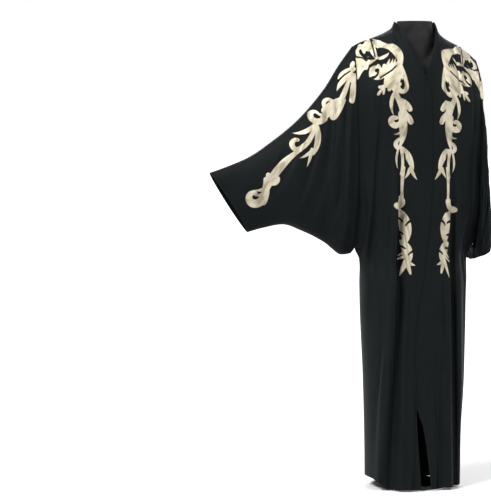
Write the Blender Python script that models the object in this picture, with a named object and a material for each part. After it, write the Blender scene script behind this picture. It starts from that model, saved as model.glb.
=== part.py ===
"""A black batwing abaya, worn open down the front, on a limbless dress form.

Metres, +Z up. The front faces -Y and the wearer's left is +X. The origin is the
middle of the stand's underside, where it stands on the floor.
"""

from collections import namedtuple
import math

import bmesh
import bpy
import numpy as np

# Cloth and seams
CLOTH = 0.0016
SEAM = 0.0003
GOLD_LIFT = 0.0011
GOLD_THICKNESS = 0.0008

# Heights of the garment's main levels
HEM = 0.016
UNDERARM = 0.766
CHEST = 1.190
NECK_POINT = 1.475
NECK_BACK = 1.462
NECK_CROSSING = 1.266

# Neck: half its width, how far its back and its V reach from the shoulder line
NECK_HALF = 0.066
NECK_BEHIND = 0.063
NECK_V_DEPTH = 0.112
CROSSING_X = 0.016

# Armholes: half the gap between front and back, at the middle of each loop
ARMHOLE_GAP = {"right": 0.066, "left": 0.072}

# How many strips each wall is made of
ARMHOLE_ROWS = 15
SKIRT_ROWS = 10
NECK_COLUMNS = 6
SHOULDER_COLUMNS = 10
BACK_HALF_COLUMNS = 12
SLEEVE_STEPS = 12

# How much closer the columns lie toward the sides, and the rows toward the hem and the cuffs
SIDE_CROWDING = 0.86
HEM_CROWDING = 1.2
ARMHOLE_CROWDING = 1.15

# Body of the garment: half widths on the wearer's right and left, depths in front and behind
Section = namedtuple("Section", "height right left front back")
BODY = (
    Section(0.016, 0.157, 0.150, 0.138, 0.130),
    Section(0.150, 0.159, 0.154, 0.134, 0.126),
    Section(0.350, 0.165, 0.166, 0.128, 0.119),
    Section(0.560, 0.177, 0.170, 0.123, 0.112),
    Section(0.690, 0.180, 0.177, 0.121, 0.108),
    Section(0.730, 0.182, 0.181, 0.120, 0.107),
    Section(0.766, 0.197, 0.197, 0.120, 0.106),
    Section(0.960, 0.200, 0.200, 0.116, 0.100),
    Section(1.190, 0.204, 0.204, 0.118, 0.100),
    Section(1.402, 0.207, 0.207, 0.110, 0.096),
)

# How the body's surface turns toward its sides: flatly by the armholes, roundly below
FLAT_SIDE = 2.4
ROUND_SIDE_ACROSS = 2.6
ROUND_SIDE_BACK = 2.2
ROUND_SIDE_FADE = 0.12
FOLD_SIDE_FADE = 6

# How the chest swells out from the neck and from the shoulder line
NECK_ROUNDNESS = 0.7
NECK_SWELL = 1.15
SHOULDER_SWELL = 2.2
SWELL_FROM = 0.03
SWELL_TO = 0.10

# Shoulder line: height on each side, by the distance from the middle
Shoulder = namedtuple("Shoulder", "across right left")
SHOULDER = (
    Shoulder(0.066, 1.475, 1.475),
    Shoulder(0.074, 1.462, 1.453),
    Shoulder(0.090, 1.452, 1.437),
    Shoulder(0.120, 1.438, 1.420),
    Shoulder(0.150, 1.427, 1.406),
    Shoulder(0.180, 1.416, 1.386),
    Shoulder(0.207, 1.402, 1.364),
)

# Front edges: where each front's free edge runs. The right front lies on top.
Edge = namedtuple("Edge", "height right left")
FRONT_EDGE = (
    Edge(0.016, -0.010, 0.005),
    Edge(0.180, -0.028, -0.010),
    Edge(0.300, -0.034, -0.040),
    Edge(0.460, -0.041, -0.066),
    Edge(0.700, -0.008, -0.048),
    Edge(1.000, 0.020, -0.024),
    Edge(1.266, 0.016, -0.016),
)
UNDER_LAYER = 0.0030
UNDER_FADE = 0.030

# Folds: x at the chest, the knee and the hem, half width, how far it stands out
# (less than 0 is a trough), and the heights between which it fades in and out
Fold = namedtuple("Fold", "chest knee hem width rise top bottom")
FRONT_FOLDS = (
    Fold(-0.112, -0.116, -0.138, 0.017, 0.011, 1.10, -0.20),
    Fold(-0.085, -0.089, -0.112, 0.012, -0.011, 1.12, -0.20),
    Fold(-0.152, -0.158, -0.160, 0.012, -0.007, 1.26, 0.30),
    Fold(-0.045, -0.060, -0.062, 0.020, 0.006, 0.70, -0.20),
    Fold(0.104, 0.108, 0.112, 0.014, -0.008, 1.12, -0.20),
    Fold(0.128, 0.134, 0.136, 0.015, 0.006, 1.00, -0.20),
    Fold(0.062, 0.066, 0.072, 0.015, 0.007, 0.55, -0.20),
    Fold(0.036, 0.040, 0.040, 0.014, -0.006, 0.62, -0.20),
)
BACK_FOLDS = (
    Fold(-0.132, -0.128, -0.122, 0.017, -0.010, 1.08, -0.20),
    Fold(-0.098, -0.092, -0.086, 0.016, 0.008, 0.95, -0.20),
    Fold(-0.040, -0.046, -0.050, 0.018, -0.009, 1.20, -0.20),
    Fold(0.006, 0.000, -0.006, 0.020, 0.009, 0.90, -0.20),
    Fold(0.052, 0.048, 0.040, 0.017, -0.008, 1.12, -0.20),
    Fold(0.112, 0.104, 0.098, 0.018, -0.010, 1.02, -0.20),
    Fold(0.082, 0.076, 0.070, 0.014, 0.006, 0.80, -0.20),
)
FOLD_ORIGIN = 1.05
FOLD_FADE_IN = 0.28
FOLD_FADE_OUT = 0.20
FOLD_AT_CHEST = 0.65
FOLD_GAIN = 0.55

# Sleeves: top line, low line and half the gap between front and back, by the
# share of the way from armhole to cuff
Station = namedtuple("Station", "share top_x top_z low_x low_z gap")
SLEEVES = {
    "right": (
        Station(0.00, -0.2070, 1.402, -0.1970, 0.766, ARMHOLE_GAP["right"]),
        Station(0.08, -0.2464, 1.343, -0.2140, 0.748, 0.070),
        Station(0.22, -0.3017, 1.265, -0.2420, 0.745, 0.070),
        Station(0.38, -0.3876, 1.169, -0.3000, 0.786, 0.063),
        Station(0.55, -0.4700, 1.104, -0.3700, 0.821, 0.055),
        Station(0.72, -0.5400, 1.058, -0.4370, 0.843, 0.047),
        Station(0.88, -0.6195, 1.025, -0.4950, 0.838, 0.038),
        Station(1.00, -0.6720, 1.007, -0.5375, 0.830, 0.031),
    ),
    "left": (
        Station(0.00, 0.2070, 1.364, 0.1970, 0.766, ARMHOLE_GAP["left"]),
        Station(0.08, 0.2190, 1.330, 0.2060, 0.751, 0.084),
        Station(0.25, 0.2290, 1.235, 0.2040, 0.740, 0.102),
        Station(0.45, 0.2350, 1.110, 0.2050, 0.736, 0.114),
        Station(0.65, 0.2400, 0.985, 0.2040, 0.736, 0.120),
        Station(0.85, 0.2470, 0.862, 0.2010, 0.738, 0.119),
        Station(1.00, 0.2520, 0.778, 0.1980, 0.742, 0.112),
    ),
}

# Sleeve folds: share along at the top line and at the low line, half width as a
# share, how far each stands out
SleeveFold = namedtuple("SleeveFold", "at_top at_low width rise")
SLEEVE_FOLDS = {
    "right": (
        SleeveFold(0.10, 0.22, 0.05, 0.006),
        SleeveFold(0.20, 0.38, 0.05, -0.008),
        SleeveFold(0.36, 0.62, 0.07, 0.006),
        SleeveFold(0.62, 0.80, 0.08, -0.005),
    ),
    "left": (
        SleeveFold(0.18, 0.16, 0.05, -0.010),
        SleeveFold(0.36, 0.34, 0.06, 0.008),
        SleeveFold(0.56, 0.56, 0.06, -0.010),
        SleeveFold(0.80, 0.80, 0.07, 0.006),
    ),
}

SLEEVE_FOLD_START = 0.10
SEAM_PULL = 0.05

# Dress form: half width and half depth by height, below the shoulders and at the neck
FormSection = namedtuple("FormSection", "height half_width half_depth middle_y")
FORM = (
    FormSection(0.690, 0.118, 0.070, 0.000),
    FormSection(0.705, 0.136, 0.082, 0.000),
    FormSection(0.760, 0.152, 0.089, 0.000),
    FormSection(0.830, 0.156, 0.090, -0.002),
    FormSection(0.920, 0.140, 0.084, -0.004),
    FormSection(1.010, 0.118, 0.076, -0.004),
    FormSection(1.100, 0.128, 0.082, -0.005),
    FormSection(1.190, 0.146, 0.090, -0.005),
    FormSection(1.260, 0.156, 0.084, -0.004),
    FormSection(1.320, 0.162, 0.070, -0.001),
    FormSection(1.360, 0.163, 0.050, 0.000),
    FormSection(1.385, 0.158, 0.034, 0.000),
)
FORM_SEAT = 0.0016
FormShoulder = namedtuple("FormShoulder", "across half_depth")
FORM_SHOULDER = (
    FormShoulder(0.148, 0.020),
    FormShoulder(0.132, 0.025),
    FormShoulder(0.115, 0.030),
    FormShoulder(0.100, 0.032),
    FormShoulder(0.088, 0.034),
    FormShoulder(0.078, 0.037),
)
FORM_NECK = (
    FormSection(1.456, 0.062, 0.044, 0.000),
    FormSection(1.466, 0.058, 0.051, 0.000),
    FormSection(1.480, 0.058, 0.054, 0.000),
    FormSection(1.483, 0.055, 0.051, 0.000),
)
FORM_SIDES = 32

# Stand
BASE_RADIUS = 0.115
BASE_THICKNESS = 0.012
BASE_ROUNDING = 0.003
POLE_RADIUS = 0.0125
ROUND_SIDES = 48

# Gold scrolls: each stroke starts at a point, heads off at an angle from straight
# up (turning towards the middle of the body is more than 0), and bends as it goes
Stroke = namedtuple("Stroke", "across up heading length bend_start bend_end wide_start wide_middle wide_end")
STROKE_STEPS = 14
FRONT_SCROLLS = (
    Stroke(0.148, 1.427, 150, 0.024, -10, -10, 0.002, 0.010, 0.016),
    Stroke(0.140, 1.404, 108, 0.032, 5, 5, 0.030, 0.021, 0.018),
    Stroke(0.111, 1.393, 108, 0.064, 45, 20, 0.018, 0.029, 0.015),
    Stroke(0.084, 1.343, 170, 0.070, -16, 14, 0.015, 0.021, 0.017),
    Stroke(0.063, 1.277, 174, 0.056, 85, 170, 0.017, 0.017, 0.010),
    Stroke(0.146, 1.358, 103, 0.042, -30, -46, 0.008, 0.011, 0.002),
    Stroke(0.158, 1.427, 178, 0.072, -10, -4, 0.012, 0.018, 0.007),
    Stroke(0.184, 1.398, 250, 0.062, -92, -104, 0.006, 0.014, 0.003),
    Stroke(0.178, 1.410, 212, 0.018, 0, 0, 0.012, 0.015, 0.011),
    Stroke(0.171, 1.412, 192, 0.024, 0, 0, 0.016, 0.018, 0.010),
    Stroke(0.164, 1.415, 180, 0.026, 0, 0, 0.016, 0.016, 0.012),
    Stroke(0.148, 1.3550, 270, 0.058, 0, 20, 0.004, 0.010, 0.014),
    Stroke(0.149, 1.3545, 248, 0.070, -10, -22, 0.004, 0.010, 0.016),
    Stroke(0.158, 1.3510, 256, 0.050, 0, 0, 0.006, 0.024, 0.046),
    Stroke(0.096, 1.329, 246, 0.050, 0, 0, 0.020, 0.029, 0.024),
    Stroke(0.139, 1.308, 246, 0.056, 70, 160, 0.024, 0.020, 0.009),
    Stroke(0.133, 1.320, 326, 0.017, 0, 0, 0.010, 0.012, 0.014),
    Stroke(0.127, 1.322, 6, 0.013, 0, 0, 0.014, 0.014, 0.012),
    Stroke(0.119, 1.324, 12, 0.033, 0, 14, 0.018, 0.010, 0.002),
    Stroke(0.109, 1.327, 10, 0.029, 0, 20, 0.014, 0.009, 0.002),
    Stroke(0.100, 1.330, 8, 0.024, 0, 24, 0.012, 0.008, 0.002),
    Stroke(0.112, 1.300, 190, 0.034, 0, 0, 0.026, 0.020, 0.012),
    Stroke(0.122, 1.296, 196, 0.018, 0, 0, 0.018, 0.016, 0.011),
    Stroke(0.118, 1.279, 258, 0.028, 0, 12, 0.012, 0.012, 0.011),
    Stroke(0.133, 1.275, 222, 0.026, 0, 0, 0.010, 0.011, 0.011),
    Stroke(0.131, 1.272, 190, 0.018, 0, 0, 0.006, 0.008, 0.007),
    Stroke(0.0875, 1.336, 200, 0.064, -5, -8, 0.018, 0.036, 0.024),
    Stroke(0.099, 1.276, 174, 0.036, 0, -14, 0.026, 0.017, 0.017),
    Stroke(0.0965, 1.250, 154, 0.078, 0, 22, 0.016, 0.022, 0.026),
    Stroke(0.100, 1.262, 214, 0.076, -25, -32, 0.010, 0.013, 0.003),
    Stroke(0.092, 1.240, 120, 0.052, 5, 28, 0.008, 0.020, 0.018),
    Stroke(0.081, 1.199, 126, 0.046, 5, 28, 0.008, 0.020, 0.018),
    Stroke(0.083, 1.162, 226, 0.062, 60, 200, 0.018, 0.021, 0.013),
    Stroke(0.080, 1.190, 170, 0.104, 5, 30, 0.026, 0.026, 0.007),
    Stroke(0.086, 1.112, 262, 0.036, -60, -84, 0.011, 0.016, 0.013),
    Stroke(0.086, 1.130, 262, 0.022, 0, 30, 0.010, 0.006, 0.002),
    Stroke(0.088, 1.092, 126, 0.086, 24, 18, 0.006, 0.022, 0.012),
    Stroke(0.0515, 1.018, 152, 0.042, 0, -14, 0.015, 0.011, 0.002),
    Stroke(0.053, 1.018, 202, 0.036, 0, 20, 0.014, 0.010, 0.002),
    Stroke(0.0850, 1.085, 154, 0.085, 22, 20, 0.008, 0.012, 0.008),
    Stroke(0.089, 1.088, 196, 0.070, 0, -44, 0.006, 0.010, 0.003),
    Stroke(0.0735, 1.022, 183, 0.102, 0, -8, 0.015, 0.011, 0.010),
    Stroke(0.080, 0.930, 140, 0.046, 60, 110, 0.012, 0.024, 0.020),
    Stroke(0.080, 0.890, 158, 0.108, 8, 26, 0.010, 0.035, 0.010),
    Stroke(0.0755, 0.792, 138, 0.072, 26, 26, 0.010, 0.030, 0.016),
    Stroke(0.066, 0.757, 232, 0.024, 0, 0, 0.012, 0.008, 0.002),
    Stroke(0.068, 0.742, 240, 0.018, 0, 0, 0.012, 0.009, 0.006),
    Stroke(0.061, 0.726, 122, 0.028, 0, -24, 0.014, 0.011, 0.003),
    Stroke(0.060, 0.722, 166, 0.034, 0, 0, 0.016, 0.014, 0.009),
    Stroke(0.063, 0.727, 200, 0.050, 0, 0, 0.016, 0.012, 0.003),
)
RIGHT_SLEEVE_SCROLLS = (
    Stroke(0.214, 1.350, 205, 0.016, 0, 0, 0.011, 0.015, 0.012),
    Stroke(0.214, 1.330, 250, 0.060, -4, -30, 0.014, 0.020, 0.003),
    Stroke(0.224, 1.318, 232, 0.074, -6, -26, 0.014, 0.017, 0.003),
    Stroke(0.222, 1.312, 203, 0.146, 0, 8, 0.014, 0.023, 0.023),
    Stroke(0.218, 1.312, 183, 0.082, 0, 10, 0.014, 0.020, 0.019),
    Stroke(0.212, 1.315, 180, 0.026, 0, 0, 0.006, 0.008, 0.003),
    Stroke(0.266, 1.234, 232, 0.056, 0, 0, 0.014, 0.024, 0.022),
    Stroke(0.298, 1.200, 296, 0.062, 60, 160, 0.014, 0.014, 0.011),
    Stroke(0.284, 1.214, 218, 0.050, 0, 10, 0.024, 0.026, 0.018),
    Stroke(0.312, 1.174, 226, 0.084, 50, 220, 0.020, 0.020, 0.009),
    Stroke(0.318, 1.184, 296, 0.030, 0, -10, 0.013, 0.008, 0.002),
    Stroke(0.339, 1.160, 220, 0.084, 20, 40, 0.010, 0.016, 0.002),
    Stroke(0.340, 1.159, 196, 0.108, 12, 40, 0.010, 0.017, 0.015),
    Stroke(0.395, 1.078, 248, 0.058, 90, 120, 0.015, 0.018, 0.013),
    Stroke(0.338, 1.159, 170, 0.096, 12, 30, 0.010, 0.022, 0.012),
    Stroke(0.356, 1.076, 232, 0.052, 0, 30, 0.012, 0.011, 0.002),
    Stroke(0.357, 1.078, 196, 0.058, 0, 10, 0.014, 0.012, 0.002),
    Stroke(0.392, 1.079, 237, 0.174, -12, -22, 0.010, 0.026, 0.022),
    Stroke(0.494, 1.000, 196, 0.056, -66, -130, 0.016, 0.022, 0.010),
    Stroke(0.470, 1.016, 166, 0.024, 0, -30, 0.012, 0.007, 0.002),
    Stroke(0.502, 0.985, 176, 0.068, 6, 22, 0.018, 0.026, 0.028),
    Stroke(0.511, 0.922, 206, 0.112, 70, 206, 0.027, 0.024, 0.010),
    Stroke(0.512, 0.954, 262, 0.034, 0, 20, 0.014, 0.008, 0.002),
    Stroke(0.515, 0.938, 262, 0.028, 0, 20, 0.014, 0.008, 0.002),
)
LEFT_SLEEVE_SCROLLS = (
    Stroke(0.036, 1.335, 190, 0.015, 0, 0, 0.011, 0.015, 0.012),
    Stroke(0.046, 1.316, 150, 0.055, 4, 30, 0.013, 0.018, 0.003),
    Stroke(0.050, 1.306, 166, 0.068, 6, 24, 0.013, 0.016, 0.003),
    Stroke(0.052, 1.304, 190, 0.134, 0, -8, 0.013, 0.021, 0.021),
    Stroke(0.058, 1.300, 212, 0.074, 0, -10, 0.013, 0.018, 0.017),
    Stroke(0.074, 1.220, 166, 0.054, 0, 0, 0.014, 0.022, 0.020),
    Stroke(0.066, 1.176, 102, 0.057, -60, -160, 0.013, 0.013, 0.010),
    Stroke(0.072, 1.194, 180, 0.046, 0, -10, 0.022, 0.024, 0.017),
    Stroke(0.070, 1.149, 172, 0.077, -50, -220, 0.018, 0.018, 0.008),
    Stroke(0.0625, 1.124, 178, 0.076, -20, -40, 0.010, 0.015, 0.002),
    Stroke(0.0625, 1.123, 202, 0.098, -12, -40, 0.010, 0.016, 0.014),
    Stroke(0.0635, 1.123, 228, 0.088, -12, -30, 0.010, 0.020, 0.011),
    Stroke(0.098, 1.051, 166, 0.048, 0, -30, 0.011, 0.010, 0.002),
    Stroke(0.098, 1.052, 202, 0.053, 0, -10, 0.013, 0.011, 0.002),
    Stroke(0.068, 1.030, 150, 0.053, -90, -120, 0.014, 0.016, 0.012),
    Stroke(0.068, 1.034, 161, 0.160, 12, 22, 0.010, 0.024, 0.020),
    Stroke(0.042, 0.918, 202, 0.052, 66, 130, 0.015, 0.020, 0.010),
    Stroke(0.045, 0.904, 218, 0.060, -6, -22, 0.016, 0.024, 0.025),
    Stroke(0.072, 0.853, 192, 0.096, -70, -206, 0.024, 0.021, 0.009),
    Stroke(0.054, 0.874, 136, 0.030, 0, -20, 0.013, 0.008, 0.002),
)
GOLD_CELL = 0.0125
GOLD_SPREAD = 0.0025
GOLD_NECK_CLEAR = 0.02
GOLD_NECK_EASE = 0.001
GOLD_NECK_TOP = 1.286
GOLD_TIP_CLEAR = 0.165
CROWN_FROM = 1.24
CROWN_TO = 1.44
CROWN_MIDDLE = 0.12
CROWN_WIDER = 0.10
CROWN_INWARD = 0.004
CROWN_HIGHER = 0.022
LEFT_SLEEVE_BACK = 0.025
LEAST_CUT = 0.15


def column(table, name):
    """One named column of a table."""
    return np.array([getattr(row, name) for row in table])


def read(table, key, name, value):
    """A column of a table read at any value of its key, on a curve that never overshoots."""
    keys = column(table, key)
    values = column(table, name)
    slopes = np.diff(values) / np.diff(keys)
    tangents = np.empty(len(keys))
    tangents[0] = slopes[0]
    tangents[-1] = slopes[-1]
    before = slopes[:-1]
    after = slopes[1:]
    together = before * after > 0
    total = np.where(together, before + after, 1.0)
    tangents[1:-1] = np.where(together, 2 * before * after / total, 0.0)
    value = np.clip(np.asarray(value, dtype=float), keys[0], keys[-1])
    cell = np.clip(np.searchsorted(keys, value, side="right") - 1, 0, len(keys) - 2)
    width = keys[cell + 1] - keys[cell]
    share = (value - keys[cell]) / width
    start = (1 + 2 * share) * (1 - share) ** 2 * values[cell]
    end = share ** 2 * (3 - 2 * share) * values[cell + 1]
    bend = share * (1 - share) * ((1 - share) * tangents[cell] - share * tangents[cell + 1])
    return start + end + bend * width


def ease(low, high, value):
    """0 below low, 1 above high, and a soft step between them."""
    share = np.clip((value - low) / (high - low), 0.0, 1.0)
    return share * share * (3 - 2 * share)


def armhole_half_gap(side, share):
    """How far the armhole's front and back edges stand from its middle."""
    loop = np.sqrt(np.clip(4 * share * (1 - share), 0.0, 1.0))
    return SEAM / 2 + ARMHOLE_GAP[side] * loop


def fold_rise(folds, x, z):
    """How far the cloth stands out at a place, from all the folds that pass it."""
    total = np.zeros_like(x)
    for fold in folds:
        drop = np.clip((FOLD_ORIGIN - z) / FOLD_ORIGIN, 0.0, 1.0)
        upper = fold.chest + (fold.knee - fold.chest) * np.clip(2 * drop, 0.0, 1.0)
        middle = upper + (fold.hem - fold.knee) * np.clip(2 * drop - 1, 0.0, 1.0)
        fades = ease(fold.bottom, fold.bottom + FOLD_FADE_OUT, z)
        fades = fades * (1 - ease(fold.top - FOLD_FADE_IN, fold.top, z))
        growth = FOLD_AT_CHEST + FOLD_GAIN * drop
        total += fold.rise * growth * fades * np.exp(-((x - middle) / fold.width) ** 2)
    return total


def neckline(face, x):
    """Height and y of the cloth's upper edge over x, on the neck and along the shoulder."""
    away = np.abs(x)
    left = x > 0
    shoulder_z = np.where(left, read(SHOULDER, "across", "left", away), read(SHOULDER, "across", "right", away))
    inside = np.clip(1 - (away / NECK_HALF) ** 2, 0.0, 1.0)
    if face == "front":
        slope = (NECK_POINT - NECK_CROSSING) / (NECK_HALF + CROSSING_X)
        neck_z = NECK_POINT - np.clip(NECK_HALF - away, 0.0, None) * slope
        neck_y = -SEAM / 2 - NECK_V_DEPTH * inside ** NECK_ROUNDNESS
    else:
        neck_z = NECK_POINT + (NECK_BACK - NECK_POINT) * np.sqrt(inside)
        neck_y = SEAM / 2 + NECK_BEHIND * np.sqrt(inside)
    return np.where(away < NECK_HALF, neck_z, shoulder_z), neck_y


def body_surface(face, x, z):
    """The y of the garment's body, in front or behind, at any x and z."""
    sign = -1.0 if face == "front" else 1.0
    left = x > 0
    half = np.where(left, read(BODY, "height", "left", z), read(BODY, "height", "right", z))
    tip = np.where(left, SHOULDER[-1].left, SHOULDER[-1].right)
    out = np.clip(np.abs(x) / half, 0.0, 1.0)
    flat_side = out ** FLAT_SIDE
    round_side = 1 - (1 - out ** ROUND_SIDE_ACROSS) ** (1 / ROUND_SIDE_BACK)
    rounding = 1 - ease(UNDERARM - ROUND_SIDE_FADE, UNDERARM, z)
    toward_side = flat_side + (round_side - flat_side) * rounding
    top_z, top_y = neckline(face, x)
    power = NECK_SWELL + (SHOULDER_SWELL - NECK_SWELL) * ease(SWELL_FROM, SWELL_TO, np.abs(x))
    fall = np.clip((top_z - z) / (top_z - CHEST), 0.0, 1.0)
    bulge = (1 - (1 - fall) ** power) ** (1 / power)
    share = np.clip((tip - z) / (tip - UNDERARM), 0.0, 1.0)
    edge_gap = np.where(left, armhole_half_gap("left", share), armhole_half_gap("right", share))
    depth = read(BODY, "height", face, z)
    folds = FRONT_FOLDS if face == "front" else BACK_FOLDS
    depth = depth + fold_rise(folds, x, z) * (1 - out ** FOLD_SIDE_FADE)
    middle = top_y + (sign * depth - top_y) * bulge
    return middle + (sign * edge_gap - middle) * toward_side


def crowded(shares):
    """Shares of the way across a panel, closer together toward its side."""
    turn = math.pi / 2 * SIDE_CROWDING
    return np.sin(shares * turn) / math.sin(turn)


def rows_down(top_z):
    """Heights of a column's points, from its top to the underarm and the hem."""
    steps = np.arange(ARMHOLE_ROWS + 1)
    upper = top_z + (UNDERARM - top_z) * (1 - np.cos(math.pi * steps / ARMHOLE_ROWS)) / 2
    lower = (np.arange(1, SKIRT_ROWS + 1) / SKIRT_ROWS) ** HEM_CROWDING
    return np.concatenate([upper, UNDERARM + (HEM - UNDERARM) * lower])


def v_edge_x(side, z):
    """Where the V neck's edge runs on one front, as x at a height above the crossing."""
    climb = (z - NECK_CROSSING) / (NECK_POINT - NECK_CROSSING)
    edge = CROSSING_X - climb * (CROSSING_X + NECK_HALF)
    return edge if side == "right" else -edge


def front_grid(side):
    """Points of one front's outer face, in columns from its free edge to its side."""
    sign = -1.0 if side == "right" else 1.0
    reach = CROSSING_X + SHOULDER[-1].across
    neck_share = (CROSSING_X + NECK_HALF) / reach
    near_neck = neck_share * np.arange(NECK_COLUMNS) / NECK_COLUMNS
    steps = np.arange(SHOULDER_COLUMNS + 1) / SHOULDER_COLUMNS
    to_side = neck_share + (1 - neck_share) * crowded(steps)
    columns = []
    for share_out in np.concatenate([near_neck, to_side]):
        top_x = sign * (-CROSSING_X + share_out * reach)
        if sign * top_x < NECK_HALF:
            climb = (sign * top_x + CROSSING_X) / (CROSSING_X + NECK_HALF)
            top_z = NECK_CROSSING + (NECK_POINT - NECK_CROSSING) * climb
        else:
            top_z = float(read(SHOULDER, "across", side, abs(top_x)))
        z = rows_down(top_z)
        edge_x = read(FRONT_EDGE, "height", side, z)
        side_x = sign * read(BODY, "height", side, z)
        x = edge_x + (side_x - edge_x) * share_out
        y = body_surface("front", x, z)
        if side == "left":
            over_x = np.where(z > NECK_CROSSING, v_edge_x("right", z), read(FRONT_EDGE, "height", "right", z))
            y = y + UNDER_LAYER * ease(-UNDER_FADE, 0.0, over_x - x)
        columns.append(np.stack([x, y, z], axis=1))
    return np.stack(columns, axis=1)


def back_grid():
    """Points of the back's outer face, in columns from the wearer's right to left."""
    steps = np.arange(-BACK_HALF_COLUMNS, BACK_HALF_COLUMNS + 1) / BACK_HALF_COLUMNS
    across = crowded(steps)
    neck_share = NECK_HALF / SHOULDER[-1].across
    neck_place = np.argmin(np.abs(across - neck_share))
    across[neck_place] = neck_share
    across[-1 - neck_place] = -neck_share
    columns = []
    for share_out in across:
        side = "left" if share_out > 0 else "right"
        top_z = float(neckline("back", np.array(share_out * SHOULDER[-1].across))[0])
        z = rows_down(top_z)
        x = share_out * read(BODY, "height", side, z)
        columns.append(np.stack([x, body_surface("back", x, z), z], axis=1))
    return np.stack(columns, axis=1)


def sleeve_grid(side):
    """Points of a sleeve's outer face: rings round it, from the armhole to the cuff.

    Each ring starts at the top line and passes the front, the low line and the back."""
    stations = SLEEVES[side]
    sign = -1.0 if side == "right" else 1.0
    steps = np.arange(ARMHOLE_ROWS + 1)
    down = (1 - np.cos(math.pi * steps / ARMHOLE_ROWS)) / 2
    around = np.concatenate([down, down[-2:0:-1]])
    face = np.concatenate([-np.ones(ARMHOLE_ROWS + 1), np.ones(ARMHOLE_ROWS - 1)])
    face[0] = 0.0
    face[ARMHOLE_ROWS] = 0.0
    rings = []
    for share in np.arange(SLEEVE_STEPS + 1) / SLEEVE_STEPS:
        share = share ** ARMHOLE_CROWDING
        top = [float(read(stations, "share", name, share)) for name in ("top_x", "top_z")]
        low = [float(read(stations, "share", name, share)) for name in ("low_x", "low_z")]
        gap = float(read(stations, "share", "gap", share))
        loop = np.sqrt(np.clip(4 * around * (1 - around), 0.0, 1.0))
        z = top[1] + (low[1] - top[1]) * around
        straight_x = top[0] + (low[0] - top[0]) * around
        seam_x = sign * read(BODY, "height", side, np.maximum(z, UNDERARM))
        from_seam = math.exp(-((share / SEAM_PULL) ** 2))
        x = straight_x + (seam_x - straight_x) * from_seam + sign * SEAM
        rise = np.zeros_like(around)
        for fold in SLEEVE_FOLDS[side]:
            middle = fold.at_top + (fold.at_low - fold.at_top) * around
            rise += fold.rise * np.exp(-(((share - middle) / fold.width) ** 2)) * loop
        rise *= ease(0.0, SLEEVE_FOLD_START, share)
        y = face * ((gap + SEAM / 2) * loop + rise)
        rings.append(np.stack([x, y, z], axis=1))
    return np.stack(rings, axis=0)


def unit(vectors):
    """The same directions, one long."""
    return vectors / np.maximum(np.linalg.norm(vectors, axis=-1, keepdims=True), 1e-12)


def grid_normals(points, closed):
    """Outward directions at a grid's points, from its neighbours along and across."""
    down = np.gradient(points, axis=0)
    if closed:
        across = np.roll(points, -1, axis=1) - np.roll(points, 1, axis=1)
    else:
        across = np.gradient(points, axis=1)
    return unit(np.cross(across, down))


def without(normals, axis):
    """Directions laid flat across an axis, so that two rims at a seam stay parallel."""
    flat = normals.copy()
    flat[..., axis] = 0.0
    return unit(flat)


def panel_normals(points, side_columns, shoulder_columns, facing):
    """Outward directions of a body panel, squared up along its seams."""
    normals = grid_normals(points, False)
    if np.sign(normals[ARMHOLE_ROWS, points.shape[1] // 2, 1]) != facing:
        normals = -normals
    normals[0, shoulder_columns] = without(normals[0, shoulder_columns], 1)
    for place, out in side_columns:
        normals[:ARMHOLE_ROWS, place] = without(normals[:ARMHOLE_ROWS, place], 0)
        normals[0, place] = (0.0, 0.0, 1.0)
        normals[ARMHOLE_ROWS, place] = (0.0, 0.0, -1.0)
        normals[ARMHOLE_ROWS + 1:, place] = (out, 0.0, 0.0)
    return normals


def sleeve_normals(points):
    """Outward directions of a sleeve, squared up along the armhole seam."""
    normals = grid_normals(points, True)
    if normals[SLEEVE_STEPS // 2, 0, 2] < 0:
        normals = -normals
    normals[0] = without(normals[0], 0)
    normals[0, 0] = (0.0, 0.0, 1.0)
    normals[0, ARMHOLE_ROWS] = (0.0, 0.0, -1.0)
    return normals


def finish_mesh(name, bm, material, smooth_angle=40):
    """Make an object of a mesh, smooth but for its sharp edges."""
    bmesh.ops.recalc_face_normals(bm, faces=bm.faces)
    mesh = bpy.data.meshes.new(name)
    bm.to_mesh(mesh)
    bm.free()
    mesh.shade_smooth()
    mesh.set_sharp_from_angle(angle=math.radians(smooth_angle))
    mesh.materials.append(material)
    part = bpy.data.objects.new(name, mesh)
    garment.objects.link(part)
    return part


def make_wall(name, outer, normals, closed, material):
    """A cloth wall: an outer grid, the same grid moved in, and the rims between them."""
    bm = bmesh.new()
    inner = outer - normals * CLOTH
    rows, columns = outer.shape[:2]
    outer_verts = [[bm.verts.new(point) for point in row] for row in outer]
    inner_verts = [[bm.verts.new(point) for point in row] for row in inner]
    last = columns if closed else columns - 1
    for row in range(rows - 1):
        for place in range(last):
            after = (place + 1) % columns
            for verts in (outer_verts, inner_verts):
                bm.faces.new((verts[row][place], verts[row][after], verts[row + 1][after]))
                bm.faces.new((verts[row][place], verts[row + 1][after], verts[row + 1][place]))
    for row in (0, rows - 1):
        for place in range(last):
            after = (place + 1) % columns
            rim = (outer_verts[row][place], outer_verts[row][after], inner_verts[row][after], inner_verts[row][place])
            bm.faces.new(rim)
    if not closed:
        for place in (0, columns - 1):
            for row in range(rows - 1):
                rim = (outer_verts[row][place], outer_verts[row + 1][place],
                       inner_verts[row + 1][place], inner_verts[row][place])
                bm.faces.new(rim)
    bmesh.ops.triangulate(bm, faces=bm.faces, quad_method="SHORT_EDGE")
    return finish_mesh(name, bm, material)


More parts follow.
